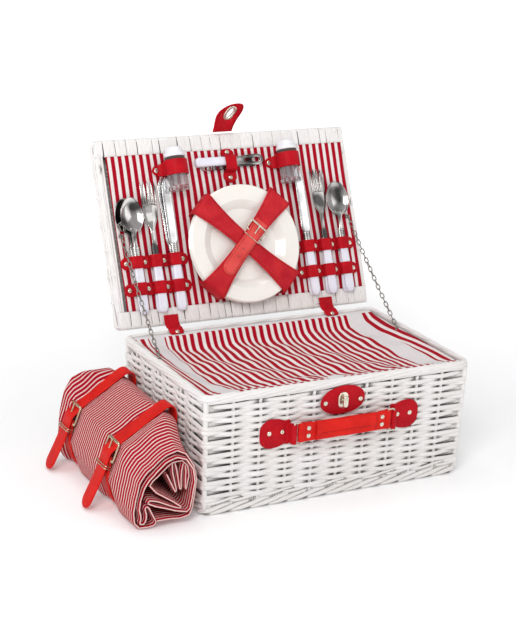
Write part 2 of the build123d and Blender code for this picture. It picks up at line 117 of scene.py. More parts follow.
# ------------------------------------------------------------------ curves and sections
def spline(points, steps, closed=False):
    """Smooth curve through the points."""
    p = np.asarray(points, float)
    if closed:
        a, b, c, d = (np.roll(p, shift, 0) for shift in (1, 0, -1, -2))
    else:
        ends = np.vstack([2 * p[0] - p[1], p, 2 * p[-1] - p[-2]])
        a, b, c, d = ends[:-3], ends[1:-2], ends[2:-1], ends[3:]
    t = (np.arange(steps) / steps)[None, :, None]
    a, b, c, d = (q[:, None] for q in (a, b, c, d))
    curve = 0.5 * (2 * b + (c - a) * t + (2 * a - 5 * b + 4 * c - d) * t**2 + (3 * b - a - 3 * c + d) * t**3)
    curve = curve.reshape(-1, p.shape[1])
    return curve if closed else np.vstack([curve, p[-1]])


def soften(points, rounds):
    """Cuts the corners of a polyline again and again, so that they become round."""
    p = np.asarray(points, float)
    for _ in range(rounds):
        here, there = p[:-1], p[1:]
        cut = np.stack([here * 0.75 + there * 0.25, here * 0.25 + there * 0.75], 1).reshape(-1, p.shape[1])
        p = np.vstack([p[:1], cut, p[-1:]])
    return p


def lengths(path):
    """Distance along a path at each of its points."""
    return np.concatenate([[0], np.cumsum(np.linalg.norm(np.diff(path, axis=0), axis=1))])


def points_at(path, s, at):
    """Points of a path, whose distances are s, at other distances."""
    return np.stack([np.interp(at, s, path[:, i]) for i in range(path.shape[1])], 1)


def resample(path, step, closed=False):
    """The same path in even steps."""
    path = np.asarray(path, float)
    if closed:
        path = np.vstack([path, path[:1]])
    s = lengths(path)
    count = max(2, int(ceil(s[-1] / step)) + 1)
    out = points_at(path, s, np.linspace(0, s[-1], count))
    return out[:-1] if closed else out


def oval(width, height, sides=8):
    angle = 2 * pi * np.arange(sides) / sides
    return np.stack([np.cos(angle) * width / 2, np.sin(angle) * height / 2], 1)


def slab(half_sizes):
    """A cross-section between an oval and a rectangle."""
    ring = oval(2, 2, 20)
    return np.sign(ring) * np.abs(ring) ** 0.6 * half_sizes


def strap_section(widths, thick, steps=3):
    """Flat section with round edges for each width: (thickness, width) pairs."""
    half = np.atleast_1d(np.asarray(widths, float))[:, None] / 2
    r = np.minimum(thick / 2, half * 0.95)
    edge = np.linspace(-pi / 2, pi / 2, 5)[None]
    middle = np.linspace(1, -1, steps + 2)[None, 1:-1] * (1 - r / half)
    flat = np.ones_like(middle)
    right, left = half - r + r * np.cos(edge), -half + r - r * np.cos(edge)
    across = np.hstack([right, half * middle, left, -half * middle])
    depth = np.hstack([r * np.sin(edge), r * flat, -r * np.sin(edge), -r * flat])
    return np.stack([depth, across], -1)


def swept(path, section, reference, closed=False):
    """Points of a section carried along a path: (rows, ring, 3). Section axes are (side, reference)."""
    path = np.asarray(path, float)
    if closed:
        tangent = np.roll(path, -1, 0) - np.roll(path, 1, 0)
    else:
        tangent = np.gradient(path, axis=0)
    tangent /= np.linalg.norm(tangent, axis=1, keepdims=True)
    side = np.cross(tangent, np.broadcast_to(reference, path.shape))
    side /= np.linalg.norm(side, axis=1, keepdims=True)
    top = np.cross(side, tangent)
    section = np.broadcast_to(section, (len(path), *np.shape(section)[-2:]))
    return path[:, None] + side[:, None] * section[..., :1] + top[:, None] * section[..., 1:]


def rounded_ends(path, width, start=True, end=True):
    """Width along a strap whose ends are half round."""
    s = lengths(path)
    r = width / 2
    widths = np.full(len(path), float(width))
    for use, away in ((start, s), (end, s[-1] - s)):
        if use:
            inside = np.clip(r - away, 0, r)
            widths = np.minimum(widths, 2 * np.sqrt(np.maximum(r * r - inside * inside, 0.3)))
    return widths


# ------------------------------------------------------------------ meshes
STITCH_WIDTHS = np.array([0.3, 1.05, 0.3])


class Skin:
    """Collects surfaces with their per-vertex values and becomes one object."""

    def __init__(self, place=WORLD):
        self.place = place
        self.points, self.faces, self.size = [], [], 0
        self.values = {"along": [], "turn": [], "tone": [], "stripe": []}

    def grid(self, points, loop=False, tone=0.5, stripe=0.0):
        """A surface through closed rings: its ends are capped, or joined to each other in a loop."""
        points = np.asarray(points, float)
        rows, around = points.shape[:2]
        index = np.arange(rows * around).reshape(rows, around) + self.size
        full = np.vstack([index, index[:1]]) if loop else index
        full = np.hstack([full, full[:, :1]])
        quads = np.stack([full[:-1, :-1], full[1:, :-1], full[1:, 1:], full[:-1, 1:]], -1)
        self.faces += quads.reshape(-1, 4).tolist()
        if not loop:
            self.faces += [index[0].tolist(), index[-1][::-1].tolist()]
        along = lengths(points[:, 0])[:, None] + random.uniform(0, 500)
        turn = (np.arange(around) / around)[None]
        for key, value in (("along", along), ("turn", turn), ("tone", tone), ("stripe", stripe)):
            self.values[key].append(np.broadcast_to(value, (rows, around)).ravel())
        self.points.append(self.place(points).reshape(-1, 3))
        self.size += rows * around

    def tube(self, path, width, height=None, reference=Z, sides=8, closed=False, tone=0.5):
        section = oval(width, height or width, sides)
        self.grid(swept(path, section, reference, closed), loop=closed, tone=tone)

    def strap(self, path, width, thick, across, tone=0.5):
        self.grid(swept(path, strap_section(width, thick), across), tone=tone)

    def turned(self, profile, at=(0, 0, 0), sides=20, axes=(0, 1, 2)):
        """A surface of revolution: profile holds (radius, height) pairs, axes the order of (x, y, axis)."""
        profile = np.asarray(profile, float)
        angle = 2 * pi * np.arange(sides) / sides
        ring = np.stack([np.cos(angle), np.sin(angle), np.zeros(sides)], 1)
        points = profile[:, :1, None] * ring[None] + profile[:, 1:, None] * Z
        self.grid(points[..., list(axes)] + np.asarray(at, float))

    def rivet(self, at, radius=3.8, high=1.9):
        shape = [(1.0, 0.0), (1.03, 0.3), (0.9, 0.7), (0.62, 0.95), (0.3, 1.0), (0.16, 0.84), (0.02, 0.8)]
        self.turned([(r * radius, h * high) for r, h in shape], at)

    def stitches(self, path, across, offset, lift, pitch=4.0, size=2.7):
        """Small thread capsules along a strap, at an offset from its middle."""
        s = lengths(path)
        path = np.asarray(path, float)
        offset = np.broadcast_to(offset, len(path))
        tangent = np.gradient(path, axis=0)
        tangent /= np.linalg.norm(tangent, axis=1, keepdims=True)
        normal = np.cross(tangent, across)
        line = path + np.asarray(across, float) * offset[:, None] + normal * lift
        for start in np.arange(3.0, s[-1] - size - 2, pitch):
            at = np.array([start, start + size / 2, start + size])
            self.grid(swept(points_at(line, s, at), oval(1, 1, 5) * STITCH_WIDTHS[:, None, None], across))

    def build(self, name, body, material, *replaces, slot=None, smooth=True):
        """The finished piece, in its body, or in none if no body is given."""
        mesh = bpy.data.meshes.new(name)
        mesh.from_pydata((np.concatenate(self.points) * MM).tolist(), [], self.faces)
        for key, parts in self.values.items():
            attribute = mesh.attributes.new(key, "FLOAT", "POINT")
            attribute.data.foreach_set("value", np.concatenate(parts).astype(np.float32))
        work = bmesh.new()
        work.from_mesh(mesh)
        bmesh.ops.recalc_face_normals(work, faces=work.faces)
        work.to_mesh(mesh)
        work.free()
        mesh.polygons.foreach_set("use_smooth", [smooth] * len(mesh.polygons))
        mesh.materials.append(material)
        piece = bpy.data.objects.new(name, mesh)
        bpy.context.scene.collection.objects.link(piece)
        if replaces:
            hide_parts(*replaces)
        if body:
            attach(piece, body)
        return piece


# ------------------------------------------------------------------ materials
class Shader:
    """A principled material with a few helpers for its nodes."""

    def __init__(self, name, color, roughness, metallic=0.0, **sockets):
        self.material = bpy.data.materials.new(name)
        self.material.use_nodes = True
        self.tree = self.material.node_tree
        self.main = self.tree.nodes["Principled BSDF"]
        self.set(self.main, "Base Color", (*color, 1))
        self.set(self.main, "Roughness", roughness)
        self.set(self.main, "Metallic", metallic)
        for key, value in sockets.items():
            self.set(self.main, key.replace("_", " "), value)

    def set(self, node, socket, value):
        if isinstance(value, bpy.types.NodeSocket):
            self.tree.links.new(value, node.inputs[socket])
        else:
            node.inputs[socket].default_value = value

    def node(self, kind, **inputs):
        """A node with its inputs set by name, or by number as _0, _1."""
        settings = inputs.pop("settings", {})
        node = self.tree.nodes.new("ShaderNode" + kind)
        for key, value in settings.items():
            setattr(node, key, value)
        for key, value in inputs.items():
            self.set(node, int(key[1:]) if key[1:].isdigit() else key, value)
        return node

    def attribute(self, name):
        return self.node("Attribute", settings={"attribute_name": name}).outputs["Fac"]

    def math(self, operation, a, b=0.0):
        return self.node("Math", settings={"operation": operation}, _0=a, _1=b, _2=0.0).outputs[0]

    def place(self, scale=(1, 1, 1)):
        coords = self.node("TexCoord").outputs["Object"]
        return self.node("Mapping", Vector=coords, Scale=scale).outputs[0]

    def noise(self, vector, scale, detail=3.0, roughness=0.5):
        node = self.node("TexNoise", Vector=vector, Scale=scale, Detail=detail, Roughness=roughness)
        return node.outputs["Fac"]

    def ramp(self, fac, low, high, low_value=0.0, high_value=1.0):
        """low_value below low, high_value above high, and even between."""
        node = self.node("MapRange", Value=fac)
        sockets = "From Min", "From Max", "To Min", "To Max"
        for socket, value in zip(sockets, (low, high, low_value, high_value)):
            self.set(node, socket, value)
        return node.outputs[0]

    def mix(self, fac, first, second):
        node = self.node("Mix", settings={"data_type": "RGBA"})
        for socket, value in ((0, fac), (6, first), (7, second)):
            if isinstance(value, tuple):
                value = (*value, 1)
            self.set(node, socket, value)
        return node.outputs[2]

    def bump(self, height, strength, distance=0.0004):
        node = self.node("Bump", Height=height, Strength=strength, Distance=distance)
        self.set(self.main, "Normal", node.outputs[0])

    def strand(self, along_scale, turn_scale):
        """Coordinates that run along a rod and round it."""
        along = self.math("MULTIPLY", self.attribute("along"), along_scale)
        angle = self.math("MULTIPLY", self.attribute("turn"), 2 * pi)
        round_x = self.math("MULTIPLY", self.math("COSINE", angle), turn_scale)
        round_y = self.math("MULTIPLY", self.math("SINE", angle), turn_scale)
        return self.node("CombineXYZ", X=along, Y=round_x, Z=round_y).outputs[0]


def wicker_paint():
    """White paint over willow: specks of wear, streaks along each rod, and painted shade, near black where
    the stripe value is high.
    """
    shader = Shader("wicker_paint", (0.8, 0.78, 0.76), 0.5)
    tone = shader.attribute("tone")
    grain = shader.noise(shader.strand(0.02, 1.4), 4.0, 4.0, 0.6)
    patches = shader.noise(shader.place(), 14.0, 2.0)
    warm = shader.mix(shader.ramp(patches, 0.35, 0.7), (0.88, 0.87, 0.875), (0.86, 0.835, 0.81))
    shade = shader.mix(shader.ramp(tone, 0.0, 1.0), (0.76, 0.73, 0.70), warm)
    streaks = shader.mix(shader.ramp(grain, 0.25, 0.6), (0.72, 0.68, 0.65), shade)
    specks = shader.noise(shader.place(), 260.0, 2.0, 0.7)
    wear_and_reflection = shader.ramp(specks, 0.735, 0.76)
    painted = shader.mix(wear_and_reflection, streaks, (0.30, 0.19, 0.12))
    # Painted shade: a high stripe value, where a rod lies deep behind a stake or a rope strand turns inward,
    # mixes the colour towards near black.
    painted_shade = shader.ramp(shader.attribute("stripe"), 0.5, 1.0, 0.0, 0.88)
    shader.set(shader.main, "Base Color", shader.mix(painted_shade, painted, (0.075, 0.06, 0.055)))
    shader.set(shader.main, "Roughness", shader.ramp(grain, 0.2, 0.8, 0.62, 0.38))
    shader.bump(shader.math("ADD", grain, shader.math("MULTIPLY", specks, 0.3)), 0.5, 0.0006)
    return shader.material


def leather(name, deep, bright):
    """Grained leather that is cloudy between two colours."""
    shader = Shader(name, bright, 0.45, Specular_IOR_Level=0.09)
    grain = shader.node("TexVoronoi", Vector=shader.place(), Scale=750.0).outputs["Distance"]
    cloudy = shader.noise(shader.place(), 38.0, 3.0)
    fine = shader.noise(shader.place(), 420.0, 2.0)
    color = shader.mix(shader.ramp(cloudy, 0.3, 0.7), deep, bright)
    rubbed = tuple(min(1, c + 0.12) for c in bright)
    color = shader.mix(shader.ramp(fine, 0.62, 0.8, 0.0, 0.35), color, rubbed)
    shader.set(shader.main, "Base Color", color)
    shader.set(shader.main, "Roughness", shader.ramp(cloudy, 0.2, 0.8, 0.36, 0.55))
    shader.bump(shader.math("ADD", grain, fine), 0.35, 0.0003)
    return shader.material


def cloth_bump(shader, thread):
    """Plain weave: two sets of threads at right angles."""
    x, y, z = shader.node("SeparateXYZ", Vector=shader.place()).outputs
    one = shader.math("SINE", shader.math("MULTIPLY", x, 2 * pi / thread))
    other = shader.math("SINE", shader.math("MULTIPLY", shader.math("ADD", y, z), 2 * pi / thread))
    fuzz = shader.noise(shader.place(), 900.0, 2.0)
    shader.bump(shader.math("ADD", shader.math("MULTIPLY", one, other), fuzz), 0.4, 0.0002)
    return fuzz


def striped_cloth(name, red, white, pitch, share, plain=None, thread=0.0011):
    """Cloth striped across its stripe value; where tone is high it is the plain colour instead."""
    shader = Shader(name, white, 0.85, Sheen_Weight=0.03, Specular_IOR_Level=0.08)
    fuzz = cloth_bump(shader, thread)
    phase = shader.math("FRACT", shader.math("DIVIDE", shader.attribute("stripe"), pitch))
    away = shader.math("ABSOLUTE", shader.math("SUBTRACT", phase, 0.5))
    line = shader.ramp(away, share / 2 - 0.03, share / 2 + 0.03)
    color = shader.mix(line, red, white)
    if plain:
        color = shader.mix(shader.ramp(shader.attribute("tone"), 0.7, 0.8), color, plain)
    shade = shader.mix(shader.ramp(fuzz, 0.3, 0.75, 0.0, 0.22), color, tuple(c * 0.55 for c in red))
    shader.set(shader.main, "Base Color", shade)
    return shader.material


def plain_cloth(name, color, thread=0.0012):
    shader = Shader(name, color, 0.9, Sheen_Weight=0.1, Specular_IOR_Level=0.2)
    fuzz = cloth_bump(shader, thread)
    darker = tuple(c * 0.8 for c in color)
    shader.set(shader.main, "Base Color", shader.mix(shader.ramp(fuzz, 0.3, 0.8), color, darker))
    return shader.material


def metal(name, color, low, high, scratch=0.15, dark=0.72, patch=90.0, detail=3.0):
    """Metal whose colour and roughness go from bright to dull in patches; where dark is low, as on the
    polished steel, the near black patches are painted reflection.
    """
    shader = Shader(name, color, low, 1.0)
    brushed = shader.noise(shader.place((40, 40, 400)), 6.0, 4.0)
    wear_and_reflection = shader.noise(shader.place(), patch, detail)
    # With a low dark value this colour is a painted reflection, near black; otherwise it is mild dulling.
    dull_and_reflected_color = tuple(c * dark for c in color)
    shader.set(shader.main, "Base Color", shader.mix(shader.ramp(wear_and_reflection, 0.36, 0.66), color, dull_and_reflected_color))
    shader.set(shader.main, "Roughness", shader.ramp(wear_and_reflection, 0.3, 0.75, low, high))
    shader.bump(brushed, scratch, 0.0001)
    return shader.material


def glazed(name, color, tint, roughness, scale=30.0):
    """China or smooth plastic under a clear coat."""
    shader = Shader(name, color, roughness, Coat_Weight=0.4, Coat_Roughness=0.06)
    cloudy = shader.noise(shader.place(), scale, 3.0)
    fine = shader.noise(shader.place(), 300.0, 2.0)
    shader.set(shader.main, "Base Color", shader.mix(shader.ramp(cloudy, 0.3, 0.75), color, tint))
    shader.set(shader.main, "Roughness", shader.ramp(fine, 0.3, 0.8, roughness, roughness + 0.12))
    shader.bump(cloudy, 0.12, 0.0004)
    return shader.material


def clear_glass():
    shader = Shader("shaker_glass", (0.96, 0.94, 0.96), 0.03, Transmission_Weight=0.92, IOR=1.45)
    ripple = shader.noise(shader.place(), 120.0, 2.0)
    shader.set(shader.main, "Roughness", shader.ramp(ripple, 0.3, 0.8, 0.02, 0.1))
    shader.bump(ripple, 0.2, 0.0003)
    return shader.material


WICKER = wicker_paint()
RED = leather("red_leather", (0.38, 0.003, 0.010), (0.52, 0.006, 0.014))
# A lighter copy of the red leather, for the handle grip and the blanket belts; on the grip its lighter red is
# painted light, for the light on the grip's raised top.
BRIGHT = leather("red_leather_bright", (0.55, 0.010, 0.008), (0.70, 0.018, 0.012))
FADED = leather("red_leather_worn", (0.44, 0.010, 0.020), (0.58, 0.026, 0.032))
SALMON = leather("red_leather_tail", (0.60, 0.050, 0.045), (0.74, 0.090, 0.080))
THREAD = leather("red_thread", (0.12, 0.002, 0.004), (0.17, 0.004, 0.006))
STRIPED = striped_cloth("striped_cloth", (0.40, 0.002, 0.016), (0.86, 0.82, 0.80), 12.3, 0.55,
                        plain=(0.78, 0.765, 0.77))
BLANKET = striped_cloth("blanket_cloth", (0.40, 0.004, 0.018), (0.82, 0.64, 0.60), 6.3, 0.69, thread=0.0016)
# The liner cloth is near black: painted shade, as it is only seen in shadow through the gaps in the weave.
LINER = plain_cloth("liner_cloth", (0.055, 0.052, 0.055))
TAPE = plain_cloth("tape_cloth", (0.78, 0.77, 0.77), 0.0020)
# A near black cloth that stands for shade: painted shade on the core behind the lid's edge strips, in the
# plate strap holes and in the bands under the shaker caps.
SHADE_DARK = plain_cloth("dark_bark", (0.10, 0.085, 0.075))
# Its near black patches (dark 0.14) are painted reflection: dark reflections painted into the steel's colour.
STEEL = metal("polished_steel", (0.66, 0.64, 0.62), 0.12, 0.26, dark=0.14, patch=44.0, detail=0.0)
BLADE = metal("bright_steel", (0.88, 0.88, 0.88), 0.16, 0.3, patch=40.0, detail=0.0)
CHAIN = metal("chain_steel", (0.36, 0.34, 0.31), 0.28, 0.5, 0.3)
NICKEL = metal("nickel", (0.80, 0.74, 0.62), 0.14, 0.32)
BRASS = metal("pale_brass", (0.72, 0.61, 0.42), 0.18, 0.36)
CHINA = glazed("white_china", (0.87, 0.845, 0.80), (0.85, 0.81, 0.75), 0.12)
HANDLE_WHITE = glazed("handle_white", (0.80, 0.80, 0.86), (0.74, 0.72, 0.84), 0.2, 60.0)
CAP_WHITE = glazed("cap_white", (0.84, 0.83, 0.86), (0.78, 0.77, 0.82), 0.25, 60.0)
GLASS = clear_glass()
SLOTS = {
    "wicker": (WICKER,), "liner_cloth": (LINER,),
    "striped_cloth": (STRIPED, TAPE), "blanket_cloth": (BLANKET,),
    "red_leather": (RED, BRIGHT, FADED, SALMON, THREAD), "steel": (STEEL, BLADE), "chain_steel": (CHAIN,),
    "rivet_nickel": (NICKEL,), "buckle_brass": (BRASS,), "handle_white": (HANDLE_WHITE, CAP_WHITE),
    "shaker_glass": (GLASS,),
}
SLOTS = {material.name: slot for slot, materials in SLOTS.items() for material in materials}


# ------------------------------------------------------------------ basketry
ROD, ROW, SWING = 4.0, 5.4, 2.9  # a weaver's thickness, the step between rows, and its swing out and in
FRONT_BAYS, SIDE_BAYS = 10, 7
CORNER_RUN = 10.0


def ring_stations(half_x, half_y):
    """Stakes round a rectangle from the front left corner: point, outward normal and whether a corner."""
    stations = []
    corners = np.array([(-half_x, -half_y), (half_x, -half_y), (half_x, half_y), (-half_x, half_y)])
    outwards = np.array([(0, -1), (1, 0), (0, 1), (-1, 0)], float)
    ends = np.roll(corners, -1, 0)
    for count, start, end, outward in zip((FRONT_BAYS, SIDE_BAYS) * 2, corners, ends, outwards):
        stations.append((start, np.sign(start) / sqrt(2), True))
        for step in range(1, count):
            share = step / count
            stations.append((start * (1 - share) + end * share, outward, False))
    return stations


def woven_row(stations, row, level, swing):
    """Control points of one weaver that passes in front of every other stake."""
    controls = []
    for index, (point, normal, corner) in enumerate(stations):
        front = (index + row) % 2 == 0
        if corner:
            front = (row // 2) % 2 == 0
        push = swing * (1 if front else -1) * random.uniform(0.85, 1.1)
        z = level + random.normal(0, 0.28)
        if not corner:
            run = np.array([-normal[1], normal[0]]) * (5.5 if front else 3.2)
            for step in (-1, 1):
                controls.append((*(point + normal * push + run * step), z))
            continue
        inward = -np.sign(normal)
        for run in ((0, 1), (0.24, 0.24), (1, 0)):
            if np.sign(normal[0]) != np.sign(normal[1]):
                run = run[::-1]
            shift = inward * np.array(run) * CORNER_RUN
            controls.append((*(point + shift + normal * push * 1.2), z))
    return np.array(controls)


def woven_ring(rods, stakes, outline, levels, low, high, middle=(0, 0), post=8.5, swing=SWING, tall=7.5):
    """Woven rows round a rectangle and the stakes that they pass; a row gets painted shade where it is
    behind.
    """
    for row, level in enumerate(levels):
        half_x, half_y = outline(level)
        controls = woven_row(ring_stations(half_x, half_y), row, level, swing)
        controls[:, :2] += middle
        path = spline(controls, 8, closed=True)
        size = random.uniform(0.9, 1.08) * (1 + 0.06 * np.sin(lengths(path) / random.uniform(60, 160)))
        section = oval(ROD, tall, 10)[None] * size[:, None, None]
        # Painted shade: where a weaver swings in behind a stake it is darkened, less so near the corners;
        # this goes in as its stripe value.
        out = (np.abs(path[:, :2] - middle) - (half_x, half_y)).max(1)
        from_corner = ((half_x, half_y) - np.abs(path[:, :2] - middle)).max(1)
        inward = np.clip(-out / swing, 0, 1)
        painted_shade = (inward * (0.55 + 0.45 * np.clip((from_corner - 6) / 12, 0, 1)))[:, None]
        rod = swept(path, section, Z, closed=True)
        rods.grid(rod, loop=True, tone=random.uniform(0.45, 1.0), stripe=painted_shade)
    for index, (_, _, corner) in enumerate(ring_stations(*outline(low))):
        ends = []
        for level in (low, (low + high) / 2, high):
            point, normal, _ = ring_stations(*outline(level))[index]
            point = point + middle - (normal * 2.5 if corner else 0)
            ends.append((*point, level))
        wobble = resample(ends, 12.0)
        wobble[1:-1, :2] += random.normal(0, 0.35, (len(wobble) - 2, 2))
        stakes.tube(wobble, post if corner else 5.4, reference=X, tone=random.uniform(0.5, 1))


def rounded_loop(half_x, half_y, radius, z, step=6.0, middle=(0, 0)):
    """A rectangle with round corners, in even steps."""
    arc = np.linspace(0, pi / 2, 6)
    loop = []
    for turn, (sx, sy) in enumerate(((1, -1), (1, 1), (-1, 1), (-1, -1))):
        angle = arc - pi / 2 + turn * pi / 2
        centre = np.array([sx * (half_x - radius), sy * (half_y - radius)]) + middle
        loop += [(*(centre + radius * np.array([cos(a), sin(a)])), z) for a in angle]
    return resample(loop, step, closed=True)


def rope(skin, core, strands, thick, wide, high, pitch, shade):
    """Strands laid round a closed level line; wide and high are the radii that the strands run on, and shade
    sets the painted shade on the inward side of each strand.
    """
    s = lengths(np.vstack([core, core[:1]]))
    phase = 2 * pi * max(1, round(s[-1] / pitch)) * s[:-1] / s[-1]
    tangent = np.roll(core, -1, 0) - np.roll(core, 1, 0)
    tangent /= np.linalg.norm(tangent, axis=1, keepdims=True)
    side = np.cross(tangent, Z)
    side /= np.linalg.norm(side, axis=1, keepdims=True)
    top = np.cross(side, tangent)
    for strand in range(strands):
        angle = phase + 2 * pi * strand / strands + random.uniform(-0.12, 0.12)
        path = core + side * (wide * np.cos(angle))[:, None] + top * (high * np.sin(angle))[:, None]
        tone = random.uniform(0.55, 1.0)
        section = oval(*[thick * random.uniform(0.92, 1.08)] * 2)
        # Painted shade: each strand darkens where it turns in towards the basket.
        painted_shade = np.clip(shade * (0.35 - np.cos(angle)), 0, 1)[:, None]
        skin.grid(swept(path, section, Z, closed=True), loop=True, tone=tone, stripe=painted_shade)


def basket_body():
    """Woven walls with their stakes, the twisted rim and the foot border with its wale."""
    rods, stakes = Skin(), Skin()
    levels = np.arange(foot_high[2] + 2.6, WALL_TOP + 1, ROW)
    inset = SWING + ROD / 2 - 0.4

    def outline(z):
        return half_size(z) - inset

    woven_ring(rods, stakes, outline, levels, 8, WALL_TOP + 6)
    rods.build("body_weavers", "basket", WICKER, "front_wall", "back_wall", "left_wall", "right_wall")
    stakes.build("body_stakes", "basket", WICKER, "corner_posts")

    def loop_inside(outside, inset, z, step=6.0):
        return rounded_loop(outside[0] - inset, outside[1] - inset, 10, z, step)

    rim = Skin()
    loop = loop_inside(rim_high, 6.2, (WALL_TOP + RIM_TOP) / 2)
    rope(rim, loop, 6, 6.4, 2.8, 4.5, 300, 0.6)
    rim.tube(loop, 7, 12, closed=True)
    rim.build("rim_rope", "basket", WICKER, "rim_rails")

    foot = Skin()
    rope(foot, loop_inside(foot_high, 7.2, 9.0), 4, 6.4, 3.4, 5.4, 128, 2.4)
    foot.tube(loop_inside(foot_high, 9, 10), 5, 14, closed=True)
    rope(foot, loop_inside(foot_high, 4.6, 21.5, 4.0), 2, 4.2, 2.0, 2.6, 90, 0.9)
    for point in loop_inside(foot_high, 4.8, 17.5, 2.7):
        foot.tube([point - (0, 0, 3.4), point, point + (0, 0, 3.4)], 1.7, reference=X, sides=6)
    foot.build("foot_border", "basket", WICKER, "bottom_border")


def woven_panel(rods, stakes, half_x, y_low, y_high, level):
    """A flat woven panel: stakes along y, weavers along x."""
    row, rod, swing = 6.2, 3.8, 1.8
    edges = np.linspace(-half_x, half_x, FRONT_BAYS + 1)
    for x in edges:
        points = resample([(x, y_low, level), (x, y_high, level)], 25)
        points[:, 0] += random.normal(0, 0.4, len(points))
        stakes.tube(points, 4.6, 3.4, tone=random.uniform(0.5, 1))
    for index, y in enumerate(np.arange(y_low + row / 2, y_high, row)):
        side = np.where((np.arange(len(edges)) + index) % 2, 1, -1) * swing
        controls = [(x, y + random.normal(0, 0.3), level + offset) for x, offset in zip(edges, side)]
        rods.tube(spline(controls, 5), row * 1.22, rod, tone=random.uniform(0.45, 1))


def basket_inside():
    """The cloth compartment and the woven bottom under it."""
    liner = Skin()
    floor, outside, inside = 11.0, 9.4, 11.2
    rows = []
    for inset, step in ((outside, 1), (inside, -1)):
        for level in np.linspace(floor, WALL_TOP - 1, 9)[::step]:
            half_x, half_y = half_size(level) - inset
            rows.append(rounded_loop(half_x, half_y, 10, max(level, floor + inset - outside), 9.0))
    count = len(rows[0])

    def even(loop):
        closed = np.vstack([loop, loop[:1]])
        s = lengths(closed)
        return points_at(closed, s, np.linspace(0, s[-1], count + 1)[:-1])

    liner.grid([even(loop) for loop in rows])
    piece = liner.build("cloth_liner", "basket", LINER, "liner")

    rods, stakes = Skin(), Skin()
    panel_low, panel_high = node_box("bottom_panel")
    woven_panel(rods, stakes, panel_high[0] - 3, panel_low[1], panel_high[1], 4.0)
    rods.build("base_weavers", "basket", WICKER, "bottom_panel")
    stakes.build("base_stakes", "basket", WICKER)


def flap_height(x, y):
    """Height of the striped flap: tucked down behind the back edge, rising again to the front rim."""
    across = np.array([-138, -132, -122, -104, -70, 0, 60, 95, 110, 117, 123, 127, 138], float)
    high = np.array([187.5, 187, 182, 175, 169, 165, 163, 164, 166, 171, 180, 185.5, 187])
    z = np.interp(y, across, high)
    edge = np.clip((np.abs(x) - 128) / 88, 0, 1) ** 2
    z = z * (1 - edge) + np.maximum(z, 184.5) * edge
    folds = 1.6 * np.sin(x / 23 + y / 31) + 1.3 * np.sin(x / 11 - y / 47 + 1.0) + 0.9 * np.sin(y / 9 + x / 60)
    folds = folds + 0.8 * np.sin(x / 6.3 + y / 22 + 2 * np.sin(x / 40))
    calm = np.clip((134 - np.abs(y)) / 26, 0, 1) * np.clip((212 - np.abs(x)) / 30, 0.15, 1)
    return z + folds * calm


def sheet_ring(x, y, height, thick):
    """Points of a closed sheet over a grid of x and y: its top and back along its underside."""
    grid_x, grid_y = np.meshgrid(x, y)
    top = np.stack([grid_x, grid_y, height(grid_x, grid_y)], -1)
    return np.concatenate([top, (top - (0, 0, thick))[:, ::-1]], 1)


def flap():
    low, high = node_box("liner_cover")
    low, high = low - (8.5, 5, 0), high + (8.5, 5, 0)
    cover = Skin()
    y = resample([(low[1], 0), (high[1], 0)], 4.0)[:, 0]
    ring = sheet_ring(np.linspace(low[0], high[0], 110), y, flap_height, 1.6)
    bend = 4.0 * np.sin((ring[..., 1] + 20) / 60) + 1.2 * np.sin(ring[..., 0] / 17 + ring[..., 1] / 40)
    tape_x, tape_half, back_tape = 182, 14, 126.5
    tape = (np.abs(np.abs(ring[..., 0]) - tape_x) < tape_half) | (ring[..., 1] > back_tape)
    cover.grid(ring, tone=tape.astype(float), stripe=ring[..., 0] + bend)
    piece = cover.build("striped_flap", "basket", STRIPED, "liner_cover")

    tab = Skin(Place((-6, low[1] + 2, 187.6), X, Y))
    leather_plate(tab, oval(27, 15, 24), 0, 1.4)
    tab = tab.build("flap_tab", "basket", TAPE)
    for soft in (piece, tab):
        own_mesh(soft)


# ------------------------------------------------------------------ small leather and metal parts
def leather_plate(skin, outline, low, thick, hole=None, middle=(0, 0)):
    """A flat piece with round edges, from its outline seen from the middle, and with a hole or none."""
    outline, middle, r = np.asarray(outline, float), np.array(middle, float), thick / 2
    away = outline - middle
    size = np.linalg.norm(away, axis=1, keepdims=True)

    def ring(inset, z, share=1.0):
        return np.column_stack([middle + away * share * (1 - inset / size), np.full(len(away), z)])

    edge = [ring(r * inset, low + r * up) for inset, up in ((1, 0), (0.3, 0.3), (0, 1), (0.3, 1.7))]
    edge.append(ring(r, low + thick))
    if hole is None:
        skin.grid([ring(0, low, 0.02), *edge, ring(0, low + thick, 0.6), ring(0, low + thick, 0.02)])
        return
    reach = 1 / np.sqrt(((away / size / (np.array(hole) / 2)) ** 2).sum(1, keepdims=True))
    inner = middle + away / size * reach
    levels = [np.column_stack([inner, np.full(len(inner), z)]) for z in (low + 0.3, low + thick - 0.3)]
    skin.grid([levels[0], *edge, levels[1]], loop=True)


def stadium(width, length):
    """Outline with half circles at both ends."""
    r = width / 2
    angle = np.linspace(0, pi, 10)
    top = np.stack([r * np.cos(angle), length / 2 - r + r * np.sin(angle)], 1)
    return np.vstack([top, -top])


def buckle(skin, across, along, wire, roller):
    """A wire frame in the x (across) and y (along) plane, its roller on the far bar."""
    half_x, half_y = (across - wire) / 2, (along - wire) / 2
    skin.tube(rounded_loop(half_x, half_y, 3.0, 0, 1.5), wire, closed=True)
    half = half_x - wire / 2 - 0.3
    skin.tube([(x, half_y, 0) for x in (-half, -half + 0.6, half - 0.6, half)], roller, sides=14)
    skin.tube([(-half_x, -half_y, 0), (half_x, -half_y, 0)], wire * 1.15)


